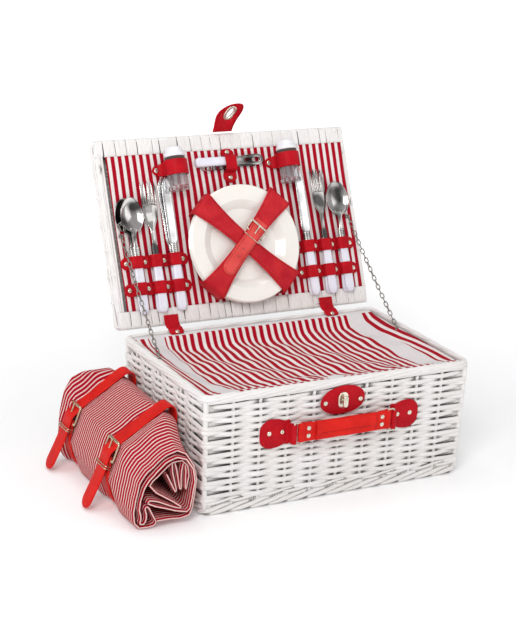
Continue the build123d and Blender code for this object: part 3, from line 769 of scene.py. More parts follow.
def wire_keeper(skin, across, high, wire=1.5):
    """A thin wire loop round a strap that runs along y, its base at z = 0."""
    loop = rounded_loop(across / 2, high / 2, 2.0, 0, 1.2)
    path = np.column_stack([loop[:, 0], 0 * loop[:, 0], loop[:, 1] + high / 2])
    skin.tube(path, wire, reference=Y, closed=True)


# ------------------------------------------------------------------ front of the body: clasp and handle
CLASP_Z, HANDLE_Z = 157.0, 118.0
PATCH_X, RING_X = 114.0, (75.5, 85.5)  # middle of a patch, and the inner and outer bar of a ring
GRIP_RISE, RING_OUT = 2.0, 14.0  # the grip is a little above the rings, which stand this far off the wall
GRIP_WIDE, GRIP_CORE = 30, 51.5


def clasp():
    """The leather patch of the turn lock with its plate and knob."""
    face = front_face(CLASP_Z)
    patch = Skin(face)
    outline = [(-38, -2), (-30, 13), (-12, 21), (12, 22), (30, 15), (38, 2), (32, -13), (14, -21), (-12, -22)]
    leather_plate(patch, spline([*outline, (-31, -14)], 6, closed=True), 1.9, 2.1)
    patch.build("clasp_leather", "basket", RED, "clasp_patch")
    metal = Skin(face)
    leather_plate(metal, stadium(17, 26), 3.9, 1.2)
    metal.build("clasp_base", "basket", NICKEL, "clasp_plate")
    knob = Skin(face)
    knob.turned([(0.1, 5.0), (3.4, 5.0), (2.5, 6.0), (2.4, 10.6), (0.1, 10.6)])
    leather_plate(knob, stadium(8.4, 19), 10.4, 3.6)
    leather_plate(knob, stadium(4.2, 13), 13.4, 0.9)
    knob.build("turn_knob", "turn_lock", NICKEL, "turn_lock_knob")


def handle_ends():
    """The two riveted patches, their leather loops and the wire rings in them."""
    face = front_face(HANDLE_Z)
    patches, folds, rings, rivets = Skin(face), Skin(face), Skin(face), Skin(front_face(CLASP_Z))
    for x in (-30, 30):
        rivets.rivet((x, -2, 3.9))
    rivets.place = face
    half = [(23.5, 0), (21.5, 12.5), (11, 20.5), (-4, 20.8), (-16, 17), (-25, 15.4)]
    half += [(x, -y) for x, y in half[:0:-1]]
    for side in (-1, 1):
        outline = spline(np.array(half) * (1.04 * side, 1.09) + (side * (PATCH_X - 2), 0), 5, closed=True)
        leather_plate(patches, outline, 0.3, 2.1, middle=(side * (PATCH_X - 6), 0))
        for x in (PATCH_X - 15, PATCH_X + 7):
            rivets.rivet((side * x, 1.5, 2.3))
        loop = [(8, 2.6), (4.5, 4), (3.6, 10), (3.4, 14.5), (0, 17.3), (-3.2, 14.8), (-2, 11.5), (2.8, 6.5)]
        path = spline([(side * (RING_X[1] + x), 0, z) for x, z in loop], 5)
        folds.strap(path, 31.0, 1.9, Y)
        for x in RING_X:
            bar = [(side * x, v, RING_OUT) for v in (-16.6, 0, 16.6)]
            rings.tube(bar, 2.8, reference=X, sides=12)
        ring_half = RING_X[1] / 2 - RING_X[0] / 2
        ends = rounded_loop(ring_half, 17.0, 1.5, RING_OUT, 1.5, (side * sum(RING_X) / 2, 0))
        rings.tube(ends, 2.6, closed=True)
    patches.build("handle_leather_patches", "basket", RED, "handle_patches")
    folds = folds.build("handle_leather_loops", None, RED, "handle_folds")
    face((0, 0, 2.5)) * MM
    face((0, 0, 13)) * MM
    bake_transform(folds)
    rings.build("handle_wire_rings", "handle", NICKEL, "handle_rings")
    rivets.build("front_domed_rivets", "basket", NICKEL, "front_rivets")


def handle_grip_strap():
    """The grip: a strap folded round both rings, with a padded core and a stitched fold over it."""
    place = front_face(HANDLE_Z).on((0, GRIP_RISE, 0))
    grip, seams, studs = Skin(place), Skin(place), Skin(place)
    reach = RING_X[0]
    end = [(-6, 16.6), (-1, 17.4), (3, 15.6), (2.4, 12), (-1.5, 11.2), (-8, 13.4), (-18, 14.0)]
    for side in (-1, 1):
        grip.strap(spline([(side * (reach + x), 0, w) for x, w in end], 5), GRIP_WIDE, 2.0, Y)
        for v in (-6, 6):
            studs.rivet((side * 63, v, 17.2), 3.6, 1.7)
    grip.strap(resample([(-reach + 4, 0, 16.2), (reach - 4, 0, 16.2)], 6), GRIP_WIDE, 2.2, Y)
    body = resample([(-GRIP_CORE, 0, 16.3), (GRIP_CORE, 0, 16.3)], 3.5)
    sway = 0.35 * np.sin(body[:, 0] / 9) + 0.25 * np.sin(body[:, 0] / 4.3 + 1)
    grip.strap(body, 30.5 + sway, 6.6, Y)
    grip.strap(body + (0, 4.6, 3.6), 20.5 + sway, 2.2, Y)
    seams.stitches(body[2:-2], Y, -3.4, 4.75, 3.6, 2.4)
    # The grip takes the lighter red leather: painted light on its raised top.
    grip.build("handle_grip_leather", "handle", BRIGHT, "handle_grip")
    seams.build("handle_grip_stitches", "handle", THREAD)
    studs.build("handle_grip_studs", "handle", NICKEL, "handle_grip_rivets")


# ------------------------------------------------------------------ blanket roll and its belts
BELTS_Y = (-52.0, 102.0)
BELT_WIDE, BELT_THICK = 32.0, 2.4
BELTED = np.array([(-234, 3), (-234, 154.5), (-321, 99), (-340, 48), (-324, 3)], float)  # (x, z) under a belt
ROLL_TOP = 143.5
SHOULDER, HIP = BELTED[2], BELTED[3]
RISE = (SHOULDER - HIP) / np.linalg.norm(SHOULDER - HIP)


def on_shoulder(along, out):
    """A point (x, z) on the roll's outer shoulder: along is up the slope, out is away from the roll."""
    return tuple(SHOULDER + along * RISE + out * np.array([-RISE[1], RISE[0]]))


def belt_squeeze(x, y, z):
    """Pulls the blanket in under the belts, and less so between them."""
    hold = sum(np.exp(-((y - belt) / 26.0) ** 4) for belt in BELTS_Y)
    hold = np.clip(hold, 0, 1)
    slack = (1 - hold) * 5.5
    for start, end in zip(BELTED, np.roll(BELTED, -1, 0)):
        way = (end - start) / np.linalg.norm(end - start)
        normal = np.array([way[1], -way[0]])
        beyond = (x - start[0]) * normal[0] + (z - start[1]) * normal[1] + 0.8 - slack
        beyond = np.maximum(beyond, 0) * 0.97
        x, z = x - beyond * normal[0], z - beyond * normal[1]
    return x, np.minimum(z, 145.0 + slack)


def blanket_roll():
    """One strip of cloth folded as the roll's front end shows, firm under the belts, loose at both ends."""
    low, high = node_box("blanket")
    fold = [
        (-281, 78), (-262, 38), (-274, 92), (-267, 96), (-257, 37), (-258, 92), (-252, 92), (-251, 38),
        (-246, 84), (-264, 103), (-302, 79), (-312, 63), (-261, 30), (-263, 25), (-310, 48), (-316, 41),
        (-256, 19), (-246, 27), (-240, 78), (-262, 111), (-296, 97), (-317, 72), (-329, 40), (-323, 20),
        (-326, 11), (-318, 10), (-315, 24), (-319, 36), (-313, 38), (-304, 19), (-299, 10), (-306, 4.6),
        (-331, 3.8), (-335.5, 38), (-322, 84), (-291, 108), (-262, 119.5), (-237, 80), (-241, 28), (-252, 10),
        (-300, 14),
    ]
    centre = (low[1] + high[1]) / 2
    path = resample(soften([(x, centre, z) for x, z in fold], 1), 2.6)
    width = high[1] - low[1]
    section = strap_section([width], 3.6, 30)[0]
    points = swept(path, section, Y)
    share = np.linspace(0, 1, len(path))[:, None]
    x, y, z = np.moveaxis(points, -1, 0)

    # firm goes from 0 at the drooping front end to 1 behind it, free from 0 to 1 past the back belt
    firm = np.clip((y - low[1]) / 85, 0, 1)
    firm = firm * firm * (3 - 2 * firm)
    free = np.clip((y - 112) / 14, 0, 1)
    z = z * (1 + 0.21 * firm) + free * 0.5 * np.clip(-262 - x, 0, 80) * np.clip(z / 90, 0, 1)
    x = x - firm * 7.0 * np.clip((-x - 296) / 30, 0, 1)
    x = x + firm * 17.0 * np.clip((z - 95) / 40, 0, 1) * np.clip((290 + x) / 40, 0, 1)
    tight_x, tight_z = belt_squeeze(x, y, z)
    x, z = x + (tight_x - x) * firm * (1 - free), z + (tight_z - z) * firm * (1 - free)
    z = np.minimum(z, ROLL_TOP + 0.04 * (z - ROLL_TOP))

    # the turns of the roll end at slightly different places
    end = 9 * (1 - share) ** 2 + 3.5 * np.sin(9 * share + 0.6)
    y = y + (1 - firm) * (end + 1.5 * np.sin(x / 9 + z / 13)) - np.clip((y - 60) / 60, 0, 1) * end * 0.6
    roll = Skin()
    shape = np.stack([x, y, np.maximum(z, 0.4)], -1)
    around = np.linalg.norm(np.diff(shape, axis=1, prepend=shape[:, :1]), axis=2).cumsum(1)
    front = np.argmin(section[:, 1])
    roll.grid(shape, stripe=around - around[:, front:front + 1])
    piece = roll.build("blanket_roll", "basket", BLANKET, "blanket")


def blanket_belts():
    """Each belt runs over the roll, through its buckle and keeper, to a free tail, and back underneath."""
    straps, metal, keepers = Skin(), Skin(), Skin()
    over = [(-231.6, 24), (-231.6, 126), (-232.4, 141), (-238, 148.4), (-246, 148.4), (-254, 143.9)]
    over += [(-300, 114.4), (-317, 103.6)]
    through = [(-1, 1.6), (-5, 2.6), (-10, 6.4), (-15, 9.6), (-25, 9.9), (-38.5, 9.0)]
    over += [on_shoulder(*spot) for spot in through] + [(-346.5, 56), (-353.5, 40), (-371.4, 3.0)]
    under = [on_shoulder(*spot) for spot in ((-21.5, 5), (-27, 6.4), (-31, 4), (-36.5, 1.8))]
    under += [(-341.6, 48), (-326, 1.6), (-300, 1.5), (-240, 1.5), (-232.6, 3), (-231.4, 12), (-231.4, 26)]
    for y in BELTS_Y:
        for points, free in ((over, True), (under, False)):
            path = resample(soften([(x, y, z) for x, z in points], 3), 2.0)
            width = rounded_ends(path, BELT_WIDE * 0.92, False, free)
            straps.strap(path, width, BELT_THICK, Y)

        def spot(along, out):
            x, z = on_shoulder(along, out)
            return Place((x, y, z), -Y, (RISE[0], 0, RISE[1]))

        metal.place = spot(-12, 4.6)
        buckle(metal, 42, 32, 3.2, 4.6)
        for along, high in ((-35, 10.5), (-38.5, 11)):
            keepers.place = spot(along, 2.0)
            wire_keeper(keepers, BELT_WIDE + 3, high)
    straps.build("blanket_straps", "basket", BRIGHT, "blanket_belts")
    metal.build("blanket_buckles", "basket", BRASS, "belt_buckles")
    keepers.build("blanket_strap_keepers", "basket", BRASS, "belt_keepers")


# ------------------------------------------------------------------ chains and hinge straps
LID_EYE, BASE_EYE = np.array([208.0, 148.0, 5.0]), np.array([213.0, 40.0, 183.0])
LINKS, LINK_LONG, LINK_WIDE, WIRE = 25, 12.2, 7.0, 1.7
CHAIN_SAG, EYE_GAP = 14, 6.9  # four times the sag in the middle, and the gap from an eye to the first link


def link(skin, centre, along, turn):
    """One oval link, turned about the way that the chain runs."""
    along = along / np.linalg.norm(along)
    across = np.cross(along, Z)
    across /= np.linalg.norm(across)
    across = cos(turn) * across + sin(turn) * np.cross(along, across)
    skin.place = Place(centre, along, across)
    half = (LINK_WIDE - WIRE) / 2
    skin.tube(rounded_loop((LINK_LONG - WIRE) / 2, half, half - 0.01, 0, 1.3), WIRE, sides=7, closed=True)


def chains():
    for side, name in ((-1, "left"), (1, "right")):
        chain = Skin()
        base, top = BASE_EYE * (side, 1, 1), LID(LID_EYE * (side, 1, 1))
        span = top - base
        margin = EYE_GAP / np.linalg.norm(span)
        at = np.linspace(margin, 1 - margin, LINKS)
        centres = base + span * at[:, None] - Z * (CHAIN_SAG * at * (1 - at))[:, None]
        along = np.gradient(centres, axis=0)
        for index, (centre, way) in enumerate(zip(centres, along)):
            link(chain, centre, way, pi / 4 + (index % 2) * pi / 2 + random.normal(0, 0.12))
        piece = chain.build(f"{name}_stay_chain", None, CHAIN, f"{name}_chain")
        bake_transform(piece)
    spare = Skin()
    curl = [(-209, 157, 6), (-212, 164, 8), (-207, 168, 9), (-202, 163, 9), (-203, 156, 8)]
    for index, (start, end) in enumerate(zip(curl[:-1], curl[1:])):
        start, end = LID(start), LID(end)
        link(spare, (start + end) / 2, end - start, (index % 2) * pi / 2 + 0.4)
    spare.build("spare_chain_end", "lid", CHAIN)
    for node in ("basket_chain_eyes", "lid_chain_eyes"):
        dress(node, CHAIN)


def dress(node, material):
    """Gives a carried-over CAD part its material."""
    for slot in bpy.data.objects[node].material_slots:
        slot.material = material


def hinge_straps():
    """Two straps from inside the lid's edge, over the rim, to a stud inside the basket."""
    straps, studs = Skin(), Skin()
    for x in (-142, 142):
        lid_part = [LID((x, u, n)) for u, n in ((15, 2.4), (8, 2.6), (2.5, 2.6))]
        rim_part = [(x, 149, 194.0), (x, 142, 193.0), (x, 137.0, 190.2), (x, 130.6, 187.4)]
        path = resample(spline([*lid_part, *rim_part], 6), 1.5)
        widths = 25 - 4 * np.clip(lengths(path) / lengths(path)[-1] - 0.9, 0, 1) / 0.1
        straps.strap(path, widths, 2.1, X)
        studs.place = Place((x, 133.6, 189.6), X, (0, 0.916, 0.40))
        studs.rivet((0, 0, 0))
    piece = straps.build("leather_hinges", None, RED, "hinge_straps")
    start, end = np.array([0, 140, 191.0]) * MM, LID((0, 6, 2)) * MM
    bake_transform(piece)
    studs.build("hinge_studs", "basket", NICKEL)


# ------------------------------------------------------------------ lid
LID_HALF, LID_LONG, BAND = 226.0, 304.0, 27.0
LEFT_MORE = 3.5  # the lid reaches a little further to the left


def edge_strips(skin, edge, inward):
    """Flat split rods laid side by side across one long border of the lid, wrapped over its edge."""
    x = -LID_HALF - LEFT_MORE + 1
    while x < LID_HALF - 3:
        width = min(random.uniform(7, 26), LID_HALF - 1 - x)
        skew = random.normal(0, 0.5)
        middle = x + width / 2
        side = [(0.2, -11), (0.0, -4), (0.5, -1.4), (3.0, -0.35)]
        side += [(BAND * 0.5, -0.25), (BAND - 2.5, -0.4), (BAND - 0.2, -1.6), (BAND, -3.5)]
        path = [(middle + skew * v / BAND, edge + inward * v, n + random.normal(0, 0.08)) for v, n in side]
        skin.strap(resample(soften(path, 1), 3.0), width, 1.7, X, random.uniform(0.55, 1.0))
        x += width + (random.uniform(0.5, 1.1) if random.random() < 0.75 else 0.1)


def lid_wicker():
    """Woven sides and top, rods along the short borders, and wrapped strips on a core along the long ones;
    the core is dark, as painted shade in the gaps between the strips.
    """
    rods, stakes, strips, shade_core = Skin(LID), Skin(LID), Skin(LID), Skin(LID)
    inset, reach = 4.0, 7

    def outline(_):
        return np.array([LID_HALF + LEFT_MORE / 2 - inset, LID_LONG / 2 - inset])

    levels = (-28.4, -23.6, -18.4, -13.2, -8.0, -3.0)
    woven_ring(rods, stakes, outline, levels, -30, -1, (-LEFT_MORE / 2, LID_LONG / 2), 6.0, 1.5, 6.2)
    woven_panel(rods, stakes, LID_HALF - reach, reach, LID_LONG - reach, -26.9)
    along = np.linspace(BAND - 2, LID_LONG - BAND + 2, 9)
    for side, more, inner in ((-1, LEFT_MORE, -2.6), (1, 0.0, -6.5)):
        for x, n in ((220.6, -2.4), (224.2, -3.0), (216.6, inner)):
            points = [(side * (x + more), u, n + random.normal(0, 0.2)) for u in along]
            rods.tube(spline(points, 5), 4.4, reference=X, tone=random.uniform(0.5, 1))
    edge_strips(strips, 0, 1)
    edge_strips(strips, LID_LONG, -1)
    # The core under the strips is painted shade: a dark strap that shows in the gaps between them.
    for u in (BAND / 2, LID_LONG - BAND / 2):
        core = resample([(-LID_HALF + reach, u, -5), (LID_HALF - reach, u, -5)], 20)
        shade_core.strap(core, BAND - 2.4, 8.6, Y)
    rods.build("lid_weavers", "lid", WICKER, "lid_side_weave", "lid_woven_panel")
    stakes.build("lid_stakes", "lid", WICKER)
    strips.build("lid_edge_strips", "lid", WICKER, "lid_border")
    shade_core.build("lid_edge_core", "lid", SHADE_DARK, slot="wicker")


def lid_cloth():
    left, right = -213.5, 219

    def ripple(x, u):
        return -1.0 + 0.22 * np.sin(x / 13 + u / 37) + 0.18 * np.sin(u / 11 - x / 71)

    cloth = Skin(LID)
    u = np.arange(BAND - 0.5, LID_LONG - BAND + 1, 5.02)
    ring = sheet_ring(np.linspace(left, right, 100), u, ripple, 1.8)
    sway = 0.9 * np.sin(ring[..., 1] / 38 + ring[..., 0] / 90)
    cloth.grid(ring, stripe=ring[..., 0] + sway)
    piece = cloth.build("lid_striped_lining", "lid", STRIPED, "lid_lining")


# ------------------------------------------------------------------ plates and their crossed straps
PLATE_U = 116.0
STRAP_NARROW, STRAP_FLARE = 27.0, 17.0  # a plate strap's width in the middle, and how much wider it ends
SEAM_LIFT = 1.1


def plates():
    """The plates come from the CAD; two flared straps cross over them, the upper one buckled."""
    for index in range(1, 5):
        dress(f"plate_{index}", CHINA)
    seams = Skin()

    def cross_strap(name, angle, level, node):
        """One flared strap over the plates, tucked under their edge at both ends."""
        strap = Skin(LID.on((0, PLATE_U, 0), angle))
        foot = [(92, 0.4), (97.5, 1.4), (100.3, 6), (100.4, 18), (98.8, 23.8), (95, level - 0.1)]
        left = [(-r, 0, n) for r, n in foot]
        right = [(r, 0, n) for r, n in foot[::-1]]
        path = resample(spline([*left, (-60, 0, level), (0, 0, level), *right], 8), 2.5)
        width = STRAP_NARROW + STRAP_FLARE * np.clip(np.abs(path[:, 0]) / 97, 0, 1) ** 2.2
        strap.strap(path, width, 2.0, Y)
        seams.place = strap.place
        for side in (-1, 1):
            seams.stitches(path, Y, side * (width / 2 - 3), SEAM_LIFT, 3.4, 2.3)
        strap.build(name, "lid", FADED, node)

    cross_strap("plate_strap_under", -45, 25.6, "plate_strap_plain")
    cross_strap("plate_strap_over", 45, 27.6, "plate_strap_buckled")

    spot = LID.on((0, PLATE_U, 0), 45)
    tail = Skin(spot)
    tip, seam_turn = 6, 9.3  # points of the path in the tail's round tip, and the radius of the seam there
    points = [(-66, 29.8), (-20, 30.0), (3, 30.6), (13, 33.0), (19, 32.6), (26, 29.8), (37, 29.2), (45, 28.6)]
    path = resample(spline([(along, 0, n) for along, n in points], 8), 1.5)
    width = rounded_ends(path, 24.0, True, False)
    tail.strap(path, width, 2.0, Y)
    tail.build("plate_strap_tail", "lid", SALMON)
    seams.place = spot
    for side in (-1, 1):
        seams.stitches(path[tip:], Y, side * (width[tip:] / 2 - 2.6), SEAM_LIFT, 3.2, 2.2)
    turn = [(-54 - seam_turn * cos(a), seam_turn * sin(a), 29.85 + 1.0) for a in np.linspace(-1.35, 1.35, 16)]
    seams.stitches(turn, Z, 0, 0, 3.2, 2.2)
    seams.build("plate_strap_stitches", "lid", THREAD)
    # The two strap holes are dark discs: painted shade.
    holes = Skin(spot)
    for along in (-14, -30):
        holes.turned([(0.1, 30.9), (1.2, 31.0), (1.2, 31.25), (0.1, 31.3)], (along, 0, 0), 10)
    holes.build("plate_strap_holes", "lid", SHADE_DARK, slot="red_leather")

    metal = Skin(LID.on(strap_point(27, 30.4), -45))
    buckle(metal, 36, 20, 2.6, 4.2)
    metal.build("plate_buckle", "lid", NICKEL, "plate_strap_buckle")
    keeper = Skin(LID.on(strap_point(9, 26.2), -45))
    wire_keeper(keeper, STRAP_NARROW + 3.5, 7.4, 1.4)
    keeper.build("plate_keeper", "lid", NICKEL, "plate_strap_keeper", slot="red_leather")
    dress("plate_strap_prong", NICKEL)


def strap_point(along, n):
    """A point along the buckled strap, which runs up to the right at 45 degrees over the plates."""
    return (along / sqrt(2), PLATE_U + along / sqrt(2), n)


# ------------------------------------------------------------------ cutlery
BAYS = {"knives": 122.5, "forks": 155.5, "spoons": 188.5}
SPREAD = {"knives": 1.2, "forks": 2.4, "spoons": 3.4}  # degrees between the lower and the upper one
STACK = (3.3, 9.6)  # height of the lower and the upper one
TURN_U = 66  # they are turned about this place
RIVETS_X = (106.0, 139.0, 172.0, 205.0)
BANDS_U = (60.0, 103.0)


def widths_along(u, pairs):
    """Values at the places u, from (place, value) pairs."""
    at, width = zip(*pairs)
    return np.interp(u, at, width)


def loft(skin, u, rings):
    """A form along u from its cross-sections: rings of (x, n) points."""
    skin.grid([np.insert(ring, 1, at, axis=1) for at, ring in zip(u, rings)])


def blade(skin, side):
    """A knife's blade with its tip towards the middle of the lid."""
    u = np.concatenate([np.arange(126, 222, 4.0), np.linspace(222, 236.5, 9)])
    outer = [(126, 5.5), (134, 7.6), (160, 8.0), (200, 8.4), (222, 7.8), (230, 5.0), (236.5, 0.3)]
    inner = [(126, 4.5), (129, 4.0), (133, 7.4), (160, 7.6), (222, 7.4), (230, 6.6), (236.5, 3.6)]
    outer, inner = widths_along(u, outer), widths_along(u, inner)
    middle = side * (outer - inner) / 2
    rings = strap_section(outer + inner, 1.5)
    loft(skin, u, [np.stack([centre - ring[:, 1], ring[:, 0]], 1) for centre, ring in zip(middle, rings)])


def neck(skin, u, widths, heights):
    """The flat stem of a fork or spoon, with its width and height at places along it."""
    width, n = widths_along(u, widths), widths_along(u, heights)
    skin.strap(np.stack([0 * u, u, n], 1), width, 1.9, X)


def fork(skin):
    widths = [(126, 8), (134, 6.2), (154, 6.6), (162, 12), (170, 20), (178, 22.6), (194, 22.4)]
    heights = [(126, 0.5), (150, 1.4), (166, -0.6), (180, -1.2), (194, 0.2)]
    neck(skin, np.linspace(126, 194, 30), widths, heights)
    for x in (-9.6, -3.2, 3.2, 9.6):
        points = [(x, 192, 0.1), (x, 205, 1.0), (x, 220, 1.2), (x * 0.97, 231.5, 0.2)]
        path = resample(spline(points, 6), 3)
        skin.strap(path, widths_along(path[:, 1], [(192, 3.3), (222, 2.7), (231.5, 0.9)]), 1.7, X)


def spoon(skin):
    widths = [(126, 8), (134, 5.6), (148, 6.2), (158, 14)]
    neck(skin, np.linspace(126, 158, 14), widths, [(126, 0.5), (146, 1.6), (158, 0.4)])
    angle = 2 * pi * np.arange(36) / 36
    rim = np.stack([19 * np.sin(angle) * (1 - 0.13 * np.cos(angle)), 28 * np.cos(angle)], 1)
    inside = [(0.02, -5.6), (0.25, -5.3), (0.5, -4.2), (0.72, -2.6), (0.88, -0.9), (0.95, 0.1), (1.0, 0.45)]
    outside = [(1.01, -0.1), (0.97, -0.8), (0.88, -2.1), (0.7, -4.3), (0.45, -6.2), (0.2, -7.0), (0.02, -7.1)]
    bowl = [np.insert(rim * share + (0, 180), 2, depth + 1.4, axis=1) for share, depth in inside + outside]
    skin.grid(bowl)


def handle_grip(skin):
    u = np.concatenate([np.linspace(19.5, 30, 8), np.arange(34, 113, 5.0)])
    width = [(19.5, 4), (20.5, 9), (22.5, 12.5), (26, 15), (30, 16.4), (60, 15.8), (112, 13.4)]
    width = widths_along(u, width)
    thick = widths_along(u, [(19.5, 1.5), (21, 3.6), (26, 5.8), (60, 6.2), (112, 5.6)])
    loft(skin, u, [slab((across / 2, high / 2)) for across, high in zip(width, thick)])


def ferrule(skin):
    u = np.arange(111, 127.6, 0.75)
    groove = 1 - 0.22 * (np.abs(((u - 111) / 3.0) % 1 - 0.5) < 0.17) * (u > 112.5) * (u < 125.5)
    loft(skin, u, [oval(11.6 * size, 5.8 * size, 20) for size in groove])


def cutlery():
    """Two of each on either side, one on the other, and the lower one turned a little more."""
    steel = {name: Skin() for name in BAYS}
    grips, ferrules = Skin(), Skin()
    for side in (-1, 1):
        for name, x in BAYS.items():
            for level, n in enumerate(STACK):
                turn = -side * SPREAD[name] if level == 0 else side * 0.5
                if name == "forks" and side < 0:
                    turn = -turn
                spot = LID.on((side * x, TURN_U, n), turn).on((0, -TURN_U, 0))
                for skin in (steel[name], grips, ferrules):
                    skin.place = spot
                if name == "knives":
                    blade(steel[name], side)
                elif name == "forks":
                    fork(steel[name])
                else:
                    spoon(steel[name])
                handle_grip(grips)
                ferrule(ferrules)
    for name, skin in steel.items():
        skin.build(f"steel_{name}", "lid", BLADE if name == "knives" else STEEL, name)
    grips.build("cutlery_grips", "lid", HANDLE_WHITE, "cutlery_handles")
    ferrules.build("cutlery_collars", "lid", STEEL, "cutlery_ferrules")


def cutlery_bands(studs):
    """Two bands a side that arch over each stack, with a rivet between stacks."""
    bands = Skin(LID)
    for side in (-1, 1):
        for u in BANDS_U:
            points = [(RIVETS_X[0] - 9.5, 0.6), (RIVETS_X[0] + 5, 0.6)]
            for x in BAYS.values():
                arch = [(-10.6, 2.0), (-10.2, 9.5), (-8.4, 13.0), (-4, 13.9)]
                arch += [(-dx, n) for dx, n in arch[::-1]] + [(12, 0.6), (21, 0.6)]
                points += [(x + dx, n) for dx, n in arch]
            points[-1] = (RIVETS_X[-1] + 9.5, 0.6)
            path = resample(soften([(side * x, u, n) for x, n in points], 2), 1.6)
            bands.strap(path, rounded_ends(path, 20.5), 1.5, Y)
            studs.place = LID
            for x in RIVETS_X:
                studs.rivet((side * x, u, 1.2), 4.0, 2.0)
    bands.build("cutlery_leather_bands", "lid", RED, "cutlery_bands")


# ------------------------------------------------------------------ shakers and corkscrew
SHAKER_X, SHAKER_N, SHAKER_R = 102.5, 17.8, 17.2
JAR_LOW, STRAP_U, CAP_LOW = 211.0, 249, 266.5


def shakers(studs):
    """Two glass jars with a dark band of painted shade under a domed cap, each in a strap riveted on its
    left.
    """
    jars, straps, bands = Skin(), Skin(LID), Skin()
    r, upright = SHAKER_R, [0, 2, 1]
    jar = [(0.4, 0.2), (r - 3, 0), (r - 0.6, 1.0), (r, 3.5), (r, 6), (r - 1.3, 7.6), (r - 1.0, 30)]
    jar += [(r - 0.8, 52), (r - 2, 54.6), (r - 3.4, 54.6), (r - 3.0, 50), (r - 3.2, 8.5), (r - 5, 6.2)]
    jar += [(0.4, 5.8)]
    # The dark band just under each cap is painted shade, in the gap between jar and cap.
    thread = [(r - 1.6, -4.4), (r - 0.7, -4), (r - 0.7, -0.2), (r - 1.6, 0)]
    dome = [(0.3, 0), (r - 0.4, 0), (r + 0.2, 0.7), (r, 4.5), (r - 1.5, 6.6), (r - 2.3, 7.4), (r - 3.4, 12.5)]
    dome += [(r - 5.6, 15.6), (r - 9.5, 17.3), (3.5, 17.9), (0.3, 18)]
    for side, name in ((-1, "left"), (1, "right")):
        cap = Skin(LID.on((side * SHAKER_X, 0, SHAKER_N)))
        jars.place = bands.place = cap.place
        turned = (jars, jar, JAR_LOW, 12), (bands, thread, CAP_LOW, 32), (cap, dome, CAP_LOW, 48)
        for skin, profile, low, sides in turned:
            skin.turned([(a, low + h) for a, h in profile], sides=sides, axes=upright)
        cap.build(f"{name}_white_cap", f"{name}_cap", CAP_WHITE, f"{name}_shaker_cap")

        reach = SHAKER_R + 1.6
        arc = np.radians(np.linspace(205, -25, 24))
        points = [(-35, 0.8), (-29, 0.8), (-23.5, 1.2), (-19.6, 4.0)]
        points += [(reach * cos(a), SHAKER_N + reach * sin(a)) for a in arc]
        points += [(18.6, 4.0), (20.5, 1.0), (25.5, 0.8)]
        path = resample(spline([(side * SHAKER_X + x, STRAP_U, n) for x, n in points], 3), 1.6)
        s = lengths(path)
        widths = [(0, 4), (2, 11), (5, 15.5), (10, 18.5), (22, 23), (34, 25), (s[-1] - 6, 24), (s[-1], 18)]
        straps.strap(path, widths_along(s, widths), 1.5, Y)
        studs.place = LID
        studs.rivet((side * SHAKER_X - 28, STRAP_U, 1.4), 4.0, 2.0)
    jars.build("shaker_glass_jars", "lid", GLASS, "shaker_jars", smooth=False)
    bands.build("shaker_threads", "lid", SHADE_DARK, slot="shaker_glass")
    straps.build("shaker_leather_straps", "lid", RED, "shaker_straps")


CORK_U, CORK_REACH = 255.0, 62.0  # the corkscrew's line, and how far its handle reaches from the middle


def corkscrew(studs):
    """Its white handle and slotted lever on one line, the spiral below them, and a strap across."""
    body = Skin(LID)
    x = np.concatenate([np.linspace(-CORK_REACH, -CORK_REACH + 4, 6), np.linspace(-CORK_REACH + 8, -1, 10)])
    size = widths_along(x, [(-CORK_REACH, 0.5), (-CORK_REACH + 1, 0.8), (-CORK_REACH + 4, 1.0), (-1, 0.96)])
    ring = slab((5.7, 7.6))
    middle = (CORK_U + 1.5, 5.8)
    body.grid([np.insert(ring[:, ::-1] * share + middle, 0, at, axis=1) for at, share in zip(x, size)])
    body.build("corkscrew_grip", "lid", HANDLE_WHITE, "corkscrew_handle")
    lever = Skin(LID.on((0, CORK_U + 0.5, 0)))
    half = [(4, 7.6), (20, 7.8), (36, 9.6), (50, 10.0), (58, 8.4), (62.5, 3.6)]
    outline = spline([(1.5, 7.2), *half, *[(x, -0.9 * y) for x, y in half[::-1]], (1.5, -6.6)], 5)
    leather_plate(lever, outline, 3.4, 4.6, hole=(17, 7.6), middle=(48, 0.5))
    lever.tube([(4, -7.4, 5.6), (30, -8.4, 5.6), (46, -9.6, 5.6)], 2.4)
    lever.build("corkscrew_lever_arm", "lid", STEEL, "corkscrew_lever")
    worm = Skin(LID)
    turn = np.linspace(0, 7 * 2 * pi, 150)
    shrink = np.clip((turn[-1] - turn) / 6, 0.15, 1)
    along = -6 - 48 * turn / turn[-1]
    across, out = 3.9 * np.cos(turn) * shrink, 3.9 * np.sin(turn) * shrink
    worm.tube(np.stack([along, CORK_U - 8.5 + across, 5.6 + out], 1), 1.9, reference=X)
    worm.build("corkscrew_spiral", "lid", STEEL, "corkscrew_worm")

    strap = Skin(LID)
    points = [(221, 0.7), (233, 0.7), (238, 1.2), (239.6, 6), (241, 12.2), (246, 13.6), (260, 13.6)]
    points += [(264.5, 12.2), (265.4, 6), (267, 1.2), (271, 0.7), (277.5, 0.7)]
    path = resample(soften([(0, u, n) for u, n in points], 2), 1.4)
    s = lengths(path)
    widths = [(0, 5), (1.5, 13), (4, 20), (8, 24), (12, 25), (20, 21), (s[-1] / 2, 20)]
    widths += [(s[-1] - away, width) for away, width in ((14, 21), (8, 25), (4, 22), (1.5, 15), (0, 6))]
    strap.strap(path, widths_along(s, widths), 1.6, X)
    strap.build("corkscrew_leather_strap", "lid", RED, "corkscrew_strap")
    studs.place = LID
    for u in (229.5, 272.0):
        studs.rivet((0, u, 1.4), 4.0, 2.0)


